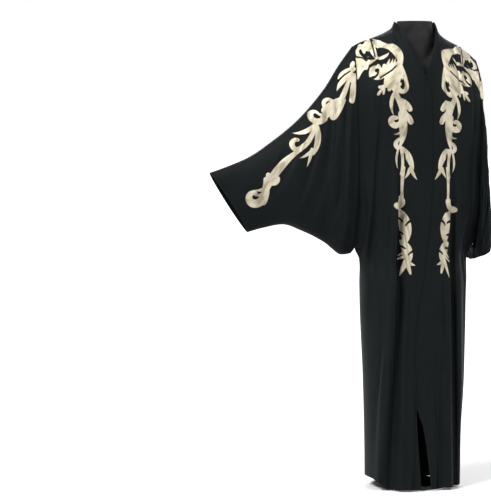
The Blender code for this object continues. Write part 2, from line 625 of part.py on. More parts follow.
def stroke_path(stroke):
    """Points and half widths along a stroke, its heading bending as it goes."""
    step = stroke.length / STROKE_STEPS
    heading = math.radians(stroke.heading)
    place = np.array([stroke.across, stroke.up])
    path = []
    for index in range(STROKE_STEPS + 1):
        share = index / STROKE_STEPS
        swell = math.sin(math.pi * share)
        width = stroke.wide_start + (stroke.wide_end - stroke.wide_start) * share
        width += (stroke.wide_middle - (stroke.wide_start + stroke.wide_end) / 2) * swell
        path.append((place[0], place[1], width / 2))
        bend = stroke.bend_start + (stroke.bend_end - stroke.bend_start) * share
        heading += math.radians(bend) * 2 / STROKE_STEPS
        place = place + step * np.array([-math.sin(heading), math.cos(heading)])
    return np.array(path)


def gold_distance(strokes, across, up):
    """How far each place lies outside the gold, less than 0 inside it."""
    nearest = np.full(across.shape, 1.0)
    for stroke in strokes:
        path = stroke_path(stroke)
        for start, end in zip(path[:-1], path[1:]):
            run = end[:2] - start[:2]
            share = ((across - start[0]) * run[0] + (up - start[1]) * run[1]) / run.dot(run)
            share = np.clip(share, 0.0, 1.0)
            away = np.hypot(across - start[0] - share * run[0], up - start[1] - share * run[1])
            nearest = np.minimum(nearest, away - (start[2] + (end[2] - start[2]) * share))
    return nearest - GOLD_SPREAD


def refine(grid, down, across):
    """A grid with each of its cells cut into down by across smaller ones, on the wall's facets."""
    rows = np.linspace(0, grid.shape[0] - 1, (grid.shape[0] - 1) * down + 1)
    columns = np.linspace(0, grid.shape[1] - 1, (grid.shape[1] - 1) * across + 1)
    row = np.minimum(rows.astype(int), grid.shape[0] - 2)
    place = np.minimum(columns.astype(int), grid.shape[1] - 2)
    lower = (rows - row)[:, None, None]
    after = (columns - place)[None, :, None]
    near = grid[row][:, place]
    far = grid[row + 1][:, place + 1]
    beside = np.where(after > lower, grid[row][:, place + 1], grid[row + 1][:, place])
    least = np.minimum(lower, after)
    most = np.maximum(lower, after)
    return near * (1 - most) + beside * (most - least) + far * least


def crossing(values, first, second):
    """The share of the way from one grid point to the next where the gold's outline passes."""
    share = values[first] / (values[first] - values[second])
    return min(max(share, LEAST_CUT), 1 - LEAST_CUT)


def gold_cells(values):
    """The pieces of a grid's cells that lie inside the gold, as rings of named corners."""
    cells = []
    for row in range(values.shape[0] - 1):
        for place in range(values.shape[1] - 1):
            corners = ((row, place), (row, place + 1), (row + 1, place + 1), (row + 1, place))
            inside = [values[corner] < 0 for corner in corners]
            if not any(inside):
                continue
            ring = []
            for index in range(4):
                here = corners[index]
                there = corners[(index + 1) % 4]
                if inside[index]:
                    ring.append((here, here))
                if inside[index] != inside[(index + 1) % 4]:
                    ring.append((min(here, there), max(here, there)))
            cells.append(ring)
    return cells


def largest_piece(cells):
    """The cells of the largest connected piece of gold."""
    owners = {}
    for index, ring in enumerate(cells):
        for corner in ring:
            owners.setdefault(corner, []).append(index)
    waiting = set(range(len(cells)))
    best = []
    while waiting:
        reached = [waiting.pop()]
        for index in reached:
            for corner in cells[index]:
                for other in owners[corner]:
                    if other in waiting:
                        waiting.remove(other)
                        reached.append(other)
        if len(reached) > len(best):
            best = reached
    return [cells[index] for index in sorted(best)]


def make_gold(name, points, normals, values, material):
    """A thin piece of gold cloth that follows a panel's facets, a little way out from them."""
    cells = largest_piece(gold_cells(values))
    bm = bmesh.new()
    under = {}
    over = {}
    for ring in cells:
        for corner in ring:
            if corner in under:
                continue
            first, second = corner
            share = 0.0 if first == second else crossing(values, first, second)
            place = points[first] * (1 - share) + points[second] * share
            normal = unit(normals[first] * (1 - share) + normals[second] * share)
            under[corner] = bm.verts.new(place + normal * GOLD_LIFT)
            over[corner] = bm.verts.new(place + normal * (GOLD_LIFT + GOLD_THICKNESS))
    sides = {}
    for ring in cells:
        bm.faces.new([over[corner] for corner in ring])
        bm.faces.new([under[corner] for corner in reversed(ring)])
        for here, there in zip(ring, ring[1:] + ring[:1]):
            if (there, here) in sides:
                del sides[(there, here)]
            else:
                sides[(here, there)] = True
    for here, there in sides:
        bm.faces.new((over[here], under[here], under[there], over[there]))
    bmesh.ops.triangulate(bm, faces=bm.faces, quad_method="SHORT_EDGE")
    return finish_mesh(name, bm, material)


def developed_heights(points):
    """Heights measured along the cloth itself, up and down from the underarm level."""
    steps = np.linalg.norm(np.diff(points, axis=0), axis=-1)
    along = np.concatenate([np.zeros((1, points.shape[1])), np.cumsum(steps, axis=0)], axis=0)
    return UNDERARM + along[ARMHOLE_ROWS][None, :] - along


def cut_counts(points, rows, columns):
    """How many cells a stretch of a grid is cut into, down and across, for the gold's outline."""
    stretch = points[rows, columns]
    down = np.linalg.norm(np.diff(stretch, axis=0), axis=-1).mean()
    across = np.linalg.norm(np.diff(stretch, axis=1), axis=-1).mean()
    return max(1, int(down / GOLD_CELL)), max(1, int(across / GOLD_CELL))


def front_gold(side, points, normals, material):
    """The scrolls on one front, from the shoulder down beside the front edge."""
    rows = slice(0, ARMHOLE_ROWS + 3)
    columns = slice(0, points.shape[1])
    heights = developed_heights(points)[rows][..., None]
    down, across = cut_counts(points, slice(4, 12), columns)
    fine_points = refine(points[rows], down, across)
    fine_normals = unit(refine(normals[rows], down, across))
    fine_heights = refine(heights, down, across)[..., 0]
    away = np.abs(fine_points[..., 0])
    drop = read(SHOULDER, "across", "right", away) - read(SHOULDER, "across", side, away)
    up = fine_heights + drop
    grown = ease(CROWN_FROM, CROWN_TO, up)
    pattern_across = CROWN_MIDDLE + (away - CROWN_MIDDLE) / (1 + CROWN_WIDER * grown) + CROWN_INWARD * grown
    values = gold_distance(FRONT_SCROLLS, pattern_across, up - CROWN_HIGHER * grown)
    from_neck = np.abs(fine_points[..., 0] - v_edge_x(side, fine_points[..., 2]))
    values[(from_neck < GOLD_NECK_CLEAR) & (fine_points[..., 2] > NECK_CROSSING)] = 1.0
    values[(away < NECK_HALF + GOLD_NECK_EASE) & (fine_points[..., 2] > GOLD_NECK_TOP)] = 1.0
    values[:, -1] = 1.0
    values[:2 * down + 1] = 1.0
    values[:3 * down + 1][away[:3 * down + 1] > GOLD_TIP_CLEAR] = 1.0
    return make_gold("gold_front_" + side, fine_points, fine_normals, values, material)


def sleeve_gold(side, points, normals, material):
    """The chain of scrolls on one sleeve's front."""
    columns = slice(0, ARMHOLE_ROWS + 1) if side == "right" else slice(0, ARMHOLE_ROWS // 2 + 1)
    down, across = cut_counts(points, slice(0, SLEEVE_STEPS), slice(2, 9))
    fine_points = refine(points[:, columns], down, across)
    fine_normals = unit(refine(normals[:, columns], down, across))
    if side == "right":
        values = gold_distance(RIGHT_SLEEVE_SCROLLS, -fine_points[..., 0], fine_points[..., 2])
    else:
        pattern_across = LEFT_SLEEVE_BACK - fine_points[..., 1]
        values = gold_distance(LEFT_SLEEVE_SCROLLS, pattern_across, fine_points[..., 2])
        values[:, -1] = 1.0
    values[0, :] = 1.0
    return make_gold("gold_sleeve_" + side, fine_points, fine_normals, values, material)


def form_rings():
    """Rings of the dress form, from its flat bottom to its flat neck."""
    rings = list(FORM)
    for stop in FORM_SHOULDER:
        cloth = min(float(read(SHOULDER, "across", side, stop.across)) for side in ("right", "left"))
        rings.append(FormSection(cloth - CLOTH - FORM_SEAT, stop.across, stop.half_depth, 0.0))
    return rings + list(FORM_NECK)


def make_form(material):
    """The limbless form: a smooth torso with a short neck, closed and solid."""
    bm = bmesh.new()
    loops = []
    for ring in form_rings():
        loop = []
        for index in range(FORM_SIDES):
            angle = 2 * math.pi * index / FORM_SIDES
            x = ring.half_width * math.cos(angle)
            y = ring.middle_y + ring.half_depth * math.sin(angle)
            loop.append(bm.verts.new((x, y, ring.height)))
        loops.append(loop)
    for lower, upper in zip(loops[:-1], loops[1:]):
        for index in range(FORM_SIDES):
            after = (index + 1) % FORM_SIDES
            bm.faces.new((lower[index], lower[after], upper[after], upper[index]))
    bm.faces.new(loops[0])
    bm.faces.new(loops[-1])
    bmesh.ops.triangulate(bm, faces=bm.faces, quad_method="SHORT_EDGE")
    return finish_mesh("dress_form", bm, material)


def make_round(name, radius, bottom, top, rounding, material):
    """A turned piece of the stand: a cylinder with its edges eased."""
    bm = bmesh.new()
    bmesh.ops.create_cone(bm, cap_ends=True, segments=ROUND_SIDES, radius1=radius, radius2=radius,
                          depth=top - bottom)
    bmesh.ops.translate(bm, verts=bm.verts, vec=(0.0, 0.0, (top + bottom) / 2))
    if rounding > 0:
        rims = [edge for edge in bm.edges if abs(edge.verts[0].co.z - edge.verts[1].co.z) < 1e-6]
        upper = [edge for edge in rims if edge.verts[0].co.z > (top + bottom) / 2]
        bmesh.ops.bevel(bm, geom=upper, offset=rounding, segments=2, profile=0.5, affect="EDGES")
    return finish_mesh(name, bm, material)


def make_material(name, color, roughness, metallic=0.0):
    """A plain finish for one kind of piece."""
    material = bpy.data.materials.new(name)
    material.use_nodes = True
    shader = material.node_tree.nodes["Principled BSDF"]
    shader.inputs["Base Color"].default_value = (*color, 1.0)
    shader.inputs["Roughness"].default_value = roughness
    shader.inputs["Metallic"].default_value = metallic
    return material


for old in list(bpy.data.objects):
    bpy.data.objects.remove(old, do_unlink=True)
garment = bpy.data.collections.new("batwing_abaya")
bpy.context.scene.collection.children.link(garment)

crepe = make_material("black_crepe", (0.016, 0.018, 0.019), 0.80)
gold = make_material("champagne_satin", (0.60, 0.53, 0.40), 0.45)
jersey = make_material("black_jersey", (0.012, 0.012, 0.014), 0.90)
steel = make_material("black_steel", (0.02, 0.02, 0.02), 0.40, 1.0)

for side, out in (("right", -1.0), ("left", 1.0)):
    front = front_grid(side)
    shoulder = slice(NECK_COLUMNS, front.shape[1])
    front_out = panel_normals(front, [(-1, out)], shoulder, -1)
    make_wall("front_" + side, front, front_out, False, crepe)
    front_gold(side, front, front_out, gold)
    sleeve = sleeve_grid(side)
    sleeve_out = sleeve_normals(sleeve)
    make_wall("sleeve_" + side, sleeve, sleeve_out, True, crepe)
    sleeve_gold(side, sleeve, sleeve_out, gold)

back = back_grid()
on_shoulder = np.abs(back[0, :, 0]) > NECK_HALF - 0.001
back_out = panel_normals(back, [(0, -1.0), (-1, 1.0)], on_shoulder, 1)
make_wall("back", back, back_out, False, crepe)

make_form(jersey)
make_round("stand_pole", POLE_RADIUS, BASE_THICKNESS + SEAM, FORM[0].height - SEAM, 0.0, steel)
make_round("stand_base", BASE_RADIUS, 0.0, BASE_THICKNESS, BASE_ROUNDING, steel)
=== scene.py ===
"""The looks of a black batwing abaya with gold scrolls, on its limbless dress form.

Metres, +Z up. The front faces -Y and the wearer's left is +X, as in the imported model.
"""

from collections import namedtuple
import math

import bmesh
import bpy
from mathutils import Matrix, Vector, noise
import numpy as np


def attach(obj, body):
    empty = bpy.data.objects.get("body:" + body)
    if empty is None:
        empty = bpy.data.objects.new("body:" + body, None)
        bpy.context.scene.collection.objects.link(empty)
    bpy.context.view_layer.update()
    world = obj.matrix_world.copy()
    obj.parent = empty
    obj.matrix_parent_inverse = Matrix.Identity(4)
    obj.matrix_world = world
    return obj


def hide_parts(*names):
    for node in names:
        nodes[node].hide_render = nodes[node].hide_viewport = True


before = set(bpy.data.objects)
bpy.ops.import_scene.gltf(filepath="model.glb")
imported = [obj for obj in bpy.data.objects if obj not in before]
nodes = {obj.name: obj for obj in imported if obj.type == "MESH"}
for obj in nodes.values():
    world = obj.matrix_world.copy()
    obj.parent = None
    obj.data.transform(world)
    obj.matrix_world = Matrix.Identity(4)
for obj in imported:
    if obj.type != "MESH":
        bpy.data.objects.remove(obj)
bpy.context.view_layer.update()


# The stand: a turned steel plate and a tube, both satin black with a sprayed coat.
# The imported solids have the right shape, so they stay and only get their finish.
COAT_COLOR = (0.018, 0.018, 0.019, 1.0)
COAT_WORN_COLOR = (0.075, 0.073, 0.070, 1.0)
COAT_ROUGHNESS = 0.42
COAT_SHINY = (0.36, 0.36, 0.36, 1.0)
COAT_DULL = (0.55, 0.55, 0.55, 1.0)
COAT_PEEL = {"scale": 650.0, "detail": 2.0}
COAT_PEEL_HEIGHT = 0.00005
COAT_SCUFFS = {"scale": 38.0, "detail": 8.0, "roughness": 0.7}
COAT_WEAR_STOPS = ((0.60, COAT_COLOR), (0.78, COAT_WORN_COLOR))
COAT_SHINE_STOPS = ((0.35, COAT_SHINY), (0.75, COAT_DULL))


def add_node(material, kind, **values):
    """A shader node with its inputs and settings given by name."""
    node = material.node_tree.nodes.new("ShaderNode" + kind)
    for name, value in values.items():
        label = name.replace("_", " ").title()
        if label in node.inputs:
            node.inputs[label].default_value = value
        else:
            setattr(node, name, value)
    return node


def join(material, source, output, target, entry):
    """Link one node's output to another's input."""
    material.node_tree.links.new(source.outputs[output], target.inputs[entry])


def feed(material, output, target, entry):
    """Link an output to a node's input."""
    material.node_tree.links.new(output, target.inputs[entry])


def start_material(name, color, roughness, finish=()):
    """A material with one principled shader, and that shader, with its finish by name."""
    material = bpy.data.materials.new(name)
    material.use_nodes = True
    shader = material.node_tree.nodes["Principled BSDF"]
    shader.inputs["Base Color"].default_value = color
    shader.inputs["Roughness"].default_value = roughness
    for entry, value in finish:
        shader.inputs[entry].default_value = value
    return material, shader


def add_pattern(material, place, kind, **values):
    """A pattern node that reads the places of an output."""
    pattern = add_node(material, kind, **values)
    feed(material, place, pattern, "Vector")
    return pattern


def add_ramp(material, pattern, stops):
    """The colours of a ramp over a pattern, through stops of share and colour."""
    ramp = add_node(material, "ValToRGB")
    join(material, pattern, "Fac", ramp, "Fac")
    elements = ramp.color_ramp.elements
    while len(elements) < len(stops):
        elements.new(0.5)
    for element, (place, color) in zip(elements, stops):
        element.position = place
        element.color = color
    return ramp.outputs["Color"]


def add_bump(material, shader, layers):
    """Chain bumps from layers of node, output and height, and feed them to the shader."""
    before = None
    for node, output, height in layers:
        bump = add_node(material, "Bump", strength=1.0, distance=height)
        join(material, node, output, bump, "Height")
        if before is not None:
            join(material, before, "Normal", bump, "Normal")
        before = bump
    join(material, before, "Normal", shader, "Normal")


steel, steel_shader = start_material("satin_black_coat", COAT_COLOR, COAT_ROUGHNESS)
steel_place = add_node(steel, "TexCoord").outputs["Object"]
steel_peel = add_pattern(steel, steel_place, "TexNoise", **COAT_PEEL)
steel_scuffs = add_pattern(steel, steel_place, "TexNoise", **COAT_SCUFFS)
feed(steel, add_ramp(steel, steel_scuffs, COAT_WEAR_STOPS), steel_shader, "Base Color")
feed(steel, add_ramp(steel, steel_scuffs, COAT_SHINE_STOPS), steel_shader, "Roughness")
add_bump(steel, steel_shader, ((steel_peel, "Fac", COAT_PEEL_HEIGHT),))
for name in ("stand_base", "stand_pole"):
    nodes[name].data.materials.clear()
    nodes[name].data.materials.append(steel)


# The dress form: a foam torso with no arms or head, covered in black stretch jersey.
# Its short neck has a flat top, and the jersey is closed there by a disc with a piped edge.
FormSection = namedtuple("FormSection", "height half_width half_depth middle_y")


def rows_of(kind, *rows):
    """A table's rows with their numbers named."""
    return tuple(kind(*row) for row in rows)


FORM = rows_of(
    FormSection,
    (0.69, 0.118, 0.07, 0.0),
    (0.705, 0.136, 0.082, 0.0),
    (0.76, 0.152, 0.089, 0.0),
    (0.83, 0.156, 0.09, -0.002),
    (0.92, 0.14, 0.084, -0.004),
    (1.01, 0.118, 0.076, -0.004),
    (1.1, 0.128, 0.082, -0.005),
    (1.19, 0.146, 0.09, -0.005),
    (1.26, 0.156, 0.084, -0.004),
    (1.32, 0.162, 0.07, -0.001),
    (1.36, 0.163, 0.05, 0.0),
    (1.385, 0.158, 0.034, 0.0),
    (1.403, 0.148, 0.02, 0.0),
    (1.4105, 0.132, 0.025, 0.0),
    (1.4185, 0.115, 0.03, 0.0),
    (1.4275, 0.1, 0.032, 0.0),
    (1.4345, 0.088, 0.034, 0.0),
    (1.443, 0.078, 0.037, 0.0),
    (1.456, 0.062, 0.044, 0.0),
    (1.466, 0.058, 0.051, 0.0),
    (1.48, 0.058, 0.054, 0.0),
)
FORM_TOP = 1.483
FORM_FOOT_SHARE = 0.5
FORM_PIPING = 0.0028
PIPING_TURNS = range(15, 151, 15)
PIPING_CLIMB = 1.87
FORM_CAP_SINK = 0.0012
FORM_CAP_INSETS = (0.012, 0.030, 0.048)
FORM_RING_STEP = 0.005
FORM_SIDES = 128
FORM_THROAT = 0.054
FORM_THROAT_WIDTH = 0.060
FORM_THROAT_FROM = 1.3
FORM_MIDDLE = 1.1
FORM_CREASE_ANGLE = math.radians(50)
SAME_POINT = 0.00001
JERSEY_COLOR = (0.007, 0.0072, 0.0085, 1.0)
JERSEY_WORN_COLOR = (0.021, 0.021, 0.023, 1.0)
JERSEY_ROUGHNESS = 0.88
JERSEY_FINISH = (("Sheen Weight", 0.10), ("Sheen Roughness", 0.5))
JERSEY_RIB = 0.0012
# A wave pattern's width at scale 1, so its scale is this over the real width in metres
WAVE_PERIOD = math.pi / 10
JERSEY_WALES = {"scale": WAVE_PERIOD / JERSEY_RIB, "distortion": 0.6, "detail": 1.0}
JERSEY_WALE_HEIGHT = 0.00022
JERSEY_COURSES = {"scale": WAVE_PERIOD / JERSEY_RIB * 1.4, "bands_direction": "Y"}
JERSEY_COURSE_HEIGHT = 0.00010
JERSEY_FADE = {"scale": 16.0, "detail": 4.0}
JERSEY_FADE_STOPS = ((0.40, JERSEY_COLOR), (0.75, JERSEY_WORN_COLOR))


def read(table, key, name, value):
    """A column of a table read at any value of its key, on a curve that never overshoots."""
    keys = np.array([getattr(row, key) for row in table])
    values = np.array([getattr(row, name) for row in table])
    slopes = np.diff(values) / np.diff(keys)
    before = slopes[:-1]
    after = slopes[1:]
    together = before * after > 0
    total = np.where(together, before + after, 1.0)
    inner = np.where(together, 2 * before * after / total, 0.0)
    tangents = np.concatenate([slopes[:1], inner, slopes[-1:]])
    value = np.clip(np.asarray(value, dtype=float), keys[0], keys[-1])
    cell = np.clip(np.searchsorted(keys, value, side="right") - 1, 0, len(keys) - 2)
    width = keys[cell + 1] - keys[cell]
    share = (value - keys[cell]) / width
    start = (1 + 2 * share) * (1 - share) ** 2 * values[cell]
    end = share ** 2 * (3 - 2 * share) * values[cell + 1]
    bend = share * (1 - share) * ((1 - share) * tangents[cell] - share * tangents[cell + 1])
    return start + end + bend * width


def set_uv(mesh, places):
    """Give each corner the flat place of its point, in metres."""
    corners = np.empty(len(mesh.loops), dtype=np.int32)
    mesh.loops.foreach_get("vertex_index", corners)
    layer = mesh.uv_layers.active or mesh.uv_layers.new(name="UVMap")
    layer.data.foreach_set("uv", places[corners].astype(np.float32).ravel())


def lay_grid(name, points, places):
    """A flat grid as big as a panel's table of points, moved to those points."""
    rows, columns = points.shape[:2]
    bpy.ops.object.select_all(action="DESELECT")
    bpy.ops.mesh.primitive_grid_add(x_subdivisions=columns - 1, y_subdivisions=rows - 1, size=1.0)
    piece = bpy.context.object
    piece.name = name
    piece.data.name = name
    piece.data.vertices.foreach_set("co", points.astype(np.float32).ravel())
    set_uv(piece.data, places.reshape(-1, 2))
    piece.data.update()
    return piece


def close_tube(piece):
    """Sew a grid's first and last columns together."""
    bpy.ops.object.mode_set(mode="EDIT")
    bpy.ops.mesh.select_all(action="SELECT")
    bpy.ops.mesh.remove_doubles(threshold=SAME_POINT)
    bpy.ops.object.mode_set(mode="OBJECT")


def face_out(piece, inside):
    """Turn a piece's faces so that they look away from a point inside it."""
    mesh = piece.data
    away = sum((face.center - inside).dot(face.normal) * face.area for face in mesh.polygons)
    if away < 0:
        mesh.flip_normals()


def finish_piece(piece, material, node):
    """Give a shown piece its material and its place in the part."""
    piece.data.materials.append(material)
    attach(piece, "root")
    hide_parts(node)


foot = FORM[0]
neck = FORM[-1]
form_rings = [[foot.half_width * FORM_FOOT_SHARE, foot.half_depth * FORM_FOOT_SHARE, 0.0, foot.height]]
for z in np.append(np.arange(foot.height, neck.height, FORM_RING_STEP), neck.height):
    form_rings.append([float(read(FORM, "height", name, z)) for name in FormSection._fields[1:]] + [z])
for turn in map(math.radians, PIPING_TURNS):
    out = FORM_PIPING * (math.sin(turn) - 1) / 2
    lift = (FORM_TOP - neck.height) * (1 - math.cos(turn)) / PIPING_CLIMB
    form_rings.append([neck.half_width + out, neck.half_depth + out, 0.0, neck.height + lift])
for inset in FORM_CAP_INSETS:
    form_rings.append([neck.half_width - inset, neck.half_depth - inset, 0.0, FORM_TOP - FORM_CAP_SINK])
turns = np.linspace(0, 2 * math.pi, FORM_SIDES + 1)
form_points = []
for wide, deep, middle, z in form_rings:
    across = wide * np.cos(turns)
    depth = middle + deep * np.sin(turns)
    throat = FORM_THROAT * np.exp(-(across / FORM_THROAT_WIDTH) ** 2) * np.abs(np.sin(turns))
    throat = np.where((np.sin(turns) < 0) & (FORM_THROAT_FROM < z < neck.height), throat, 0.0)
    form_points.append(np.stack([across, np.minimum(depth, -throat), np.full_like(turns, z)], axis=1))
form_points = np.array(form_points)
form_around = turns[None, :] * np.array([(wide + deep) / 2 for wide, deep, middle, z in form_rings])[:, None]
form_up = np.array([z for wide, deep, middle, z in form_rings])[:, None] + 0 * form_around
torso = lay_grid("form_torso", form_points, np.stack([form_around, form_up], axis=2))
close_tube(torso)
bpy.ops.object.mode_set(mode="EDIT")
bpy.ops.mesh.select_mode(type="EDGE")
bpy.ops.mesh.select_all(action="DESELECT")
bpy.ops.mesh.select_non_manifold(extend=False)
bpy.ops.mesh.edge_face_add()
bpy.ops.object.mode_set(mode="OBJECT")
face_out(torso, Vector((0.0, 0.0, FORM_MIDDLE)))
bpy.ops.object.shade_smooth_by_angle(angle=FORM_CREASE_ANGLE)

jersey, jersey_shader = start_material("black_jersey", JERSEY_COLOR, JERSEY_ROUGHNESS, JERSEY_FINISH)
jersey_place = add_node(jersey, "UVMap").outputs["UV"]
jersey_wales = add_pattern(jersey, jersey_place, "TexWave", **JERSEY_WALES)
jersey_courses = add_pattern(jersey, jersey_place, "TexWave", **JERSEY_COURSES)
jersey_fade = add_pattern(jersey, jersey_place, "TexNoise", **JERSEY_FADE)
feed(jersey, add_ramp(jersey, jersey_fade, JERSEY_FADE_STOPS), jersey_shader, "Base Color")
add_bump(jersey, jersey_shader, (
    (jersey_wales, "Fac", JERSEY_WALE_HEIGHT),
    (jersey_courses, "Fac", JERSEY_COURSE_HEIGHT),
))
finish_piece(torso, jersey, "dress_form")


# The back: one wide panel of black crepe, cut with the neck scooped behind. It hangs
# from the form's shoulders in soft flutes, and is sewn to both fronts and both sleeves.
CLOTH_CREASE_ANGLE = math.radians(60)
SEAM = 0.0003
CLOTH_SHOWN = 0.0012
HEM = {"front": 0.008, "back": 0.005}
HEM_SIDE = {"right": 0.034, "left": 0.016}
HEM_RISES_FROM = {"front": 0.72, "back": 0.45}
UNDERARM = 0.766
CHEST = 1.190
NECK_POINT = 1.482
NECK_BACK = 1.462
NECK_CROSSING = 1.266
NECK_HALF = 0.066
NECK_BEHIND = 0.063
NECK_V_DEPTH = 0.112
CROSSING_X = 0.016
ARMHOLE_GAP = {"right": 0.066, "left": 0.072}
Section = namedtuple("Section", "height right left front back")
BODY = rows_of(
    Section,
    (0.016, 0.152, 0.15, 0.138, 0.13),
    (0.15, 0.154, 0.154, 0.134, 0.126),
    (0.35, 0.16, 0.166, 0.128, 0.119),
    (0.56, 0.172, 0.17, 0.123, 0.112),
    (0.69, 0.177, 0.177, 0.121, 0.108),
    (0.73, 0.182, 0.181, 0.12, 0.107),
    (0.766, 0.197, 0.197, 0.12, 0.106),
    (0.96, 0.2, 0.2, 0.116, 0.1),
    (1.19, 0.204, 0.204, 0.118, 0.1),
    (1.402, 0.207, 0.207, 0.11, 0.096),
)
Shoulder = namedtuple("Shoulder", "across right left")
SHOULDER = rows_of(
    Shoulder,
    (0.066, 1.482, 1.482),
    (0.073, 1.465, 1.458),
    (0.09, 1.452, 1.437),
    (0.12, 1.438, 1.42),
    (0.15, 1.427, 1.406),
    (0.18, 1.416, 1.386),
    (0.207, 1.402, 1.364),
)
# Main folds: x at the chest, the knee and the hem, half width, how far each stands out
# (less than 0 is a trough), and the heights that it starts and ends at
Fold = namedtuple("Fold", "chest knee hem width rise top bottom")
FOLDS = {
    "front": rows_of(
        Fold,
        (-0.104, -0.109, -0.134, 0.015, 0.012, 1.12, -0.2),
        (-0.078, -0.081, -0.106, 0.012, -0.018, 1.14, -0.2),
        (-0.152, -0.158, -0.16, 0.012, -0.007, 1.26, 0.3),
        (-0.045, -0.06, -0.062, 0.02, 0.006, 0.7, -0.2),
        (0.097, 0.101, 0.108, 0.013, -0.013, 1.16, -0.2),
        (0.128, 0.134, 0.136, 0.015, 0.006, 1.0, -0.2),
        (0.062, 0.066, 0.072, 0.015, 0.007, 0.55, -0.2),
        (0.036, 0.04, 0.04, 0.014, -0.006, 0.62, -0.2),
    ),
    "back": rows_of(
        Fold,
        (-0.132, -0.128, -0.122, 0.017, -0.01, 1.08, -0.2),
        (-0.098, -0.092, -0.086, 0.016, 0.008, 0.95, -0.2),
        (-0.04, -0.046, -0.05, 0.018, -0.009, 1.2, -0.2),
        (0.006, 0.0, -0.006, 0.02, 0.009, 0.9, -0.2),
        (0.052, 0.048, 0.04, 0.017, -0.008, 1.12, -0.2),
        (0.112, 0.104, 0.098, 0.018, -0.01, 1.02, -0.2),
        (0.082, 0.076, 0.07, 0.014, 0.006, 0.8, -0.2),
    ),
}
# Finer creases: where each starts and ends, how far it bows sideways, its half width, how
# far it stands out (less than 0 is a trough), and its lean (less than 0 is steep towards +X)
Crease = namedtuple("Crease", "top_x top_z low_x low_z bow width rise lean")
CREASES = {
    "front": rows_of(
        Crease,
        (-0.104, 1.13, -0.165, -0.25, 0.024, 0.011, 0.0125, -0.6),
        (-0.143, 1.23, -0.166, 0.44, -0.004, 0.008, -0.008, 0.45),
        (-0.187, 1.04, -0.166, 0.56, 0.006, 0.009, 0.0045, 0.4),
        (-0.141, 1.45, -0.14, 1.2, 0.003, 0.0048, -0.0046, 0.4),
        (-0.166, 1.38, -0.178, 1.02, 0.006, 0.01, 0.0036, 0.3),
        (-0.06, 0.66, -0.084, -0.16, -0.004, 0.01, 0.0055, -0.4),
        (-0.036, 0.35, -0.052, -0.12, 0.003, 0.006, -0.0042, 0.3),
        (-0.176, 0.74, -0.146, 0.06, -0.006, 0.011, -0.0052, 0.4),
        (-0.128, 0.52, -0.15, -0.18, 0.004, 0.007, 0.004, 0.35),
        (-0.012, 0.6, -0.006, 0.12, 0.0, 0.008, 0.0038, 0.3),
        (0.116, 1.44, 0.128, 1.2, 0.002, 0.0048, -0.0042, -0.4),
        (0.16, 1.35, 0.176, 1.02, -0.006, 0.01, 0.0034, -0.3),
        (0.181, 1.29, 0.164, 0.48, -0.004, 0.008, -0.0085, -0.4),
        (0.112, 1.08, 0.128, -0.24, -0.006, 0.0105, 0.01, 0.5),
        (0.07, 0.74, 0.082, -0.16, 0.003, 0.01, 0.006, 0.45),
        (0.052, 0.5, 0.056, -0.14, -0.003, 0.006, -0.0046, 0.3),
        (0.15, 0.92, 0.134, -0.1, 0.007, 0.009, -0.0052, -0.4),
        (0.024, 0.33, 0.03, -0.1, 0.002, 0.0055, 0.0034, -0.3),
        (0.176, 0.73, 0.15, 0.06, 0.006, 0.0105, -0.0046, -0.4),
    ),
    "back": rows_of(
        Crease,
        (-0.118, 1.42, -0.1, 1.13, 0.01, 0.01, -0.0046, 0.35),
        (0.112, 1.41, 0.088, 1.14, -0.01, 0.0095, -0.0044, -0.35),
        (-0.15, 1.35, -0.126, 0.86, 0.012, 0.013, 0.0046, -0.4),
        (0.152, 1.32, 0.13, 0.78, -0.01, 0.012, 0.0048, 0.4),
        (-0.06, 1.39, -0.054, 0.96, 0.006, 0.01, -0.0032, 0.3),
        (0.03, 1.4, 0.038, 1.02, -0.004, 0.011, -0.003, -0.3),
        (-0.112, 1.08, -0.102, -0.22, -0.006, 0.0085, -0.0072, 0.5),
        (-0.068, 0.9, -0.07, -0.16, 0.004, 0.0095, 0.0058, -0.45),
        (-0.02, 1.12, -0.028, -0.2, 0.003, 0.008, -0.0062, 0.5),
        (0.028, 0.8, 0.02, -0.14, -0.004, 0.0085, 0.0056, -0.4),
        (0.066, 1.04, 0.054, -0.18, 0.005, 0.008, -0.0068, -0.5),
        (0.098, 0.74, 0.088, -0.16, -0.003, 0.0085, 0.0052, 0.4),
        (0.13, 1.0, 0.116, -0.2, 0.004, 0.008, -0.0064, -0.5),
        (-0.16, 0.76, -0.136, -0.12, 0.006, 0.01, -0.0052, 0.4),
        (0.164, 0.75, 0.138, -0.1, -0.006, 0.01, -0.0054, -0.4),
        (-0.132, 0.46, -0.122, -0.12, 0.002, 0.007, 0.0042, 0.3),
        (0.008, 0.42, 0.0, -0.12, 0.002, 0.0065, 0.0036, -0.3),
    ),
}
FOLD_CHEST = 1.05
FOLD_LOW_FADE = 0.20
FOLD_TOP_FADE = 0.28
FOLD_GROWTH = (0.65, 0.55)
CREASE_START = 0.20
CREASE_END = 0.70
CREASE_PAST_END = 0.01
CREASE_GROWTH = (0.75, 0.55)
CREASE_WANDER = 0.28
CREASE_WANDER_WAVES = 8.5
CREASE_WANDER_STEP = 2.3
CREASE_SWAY = 0.0022
CREASE_SWAY_WAVES = 9.0
CREASE_SWAY_STEP = 1.7
BESIDE_PLACE = 1.35
BESIDE_WIDTH = 0.80
BESIDE_SHARE = 0.50
GAP_SOFT_ENDS = 0.25
GAP_SOFT_FADE = 8
SEAM_SINK = 0.0028
SEAM_SINK_WIDTH = 0.0075
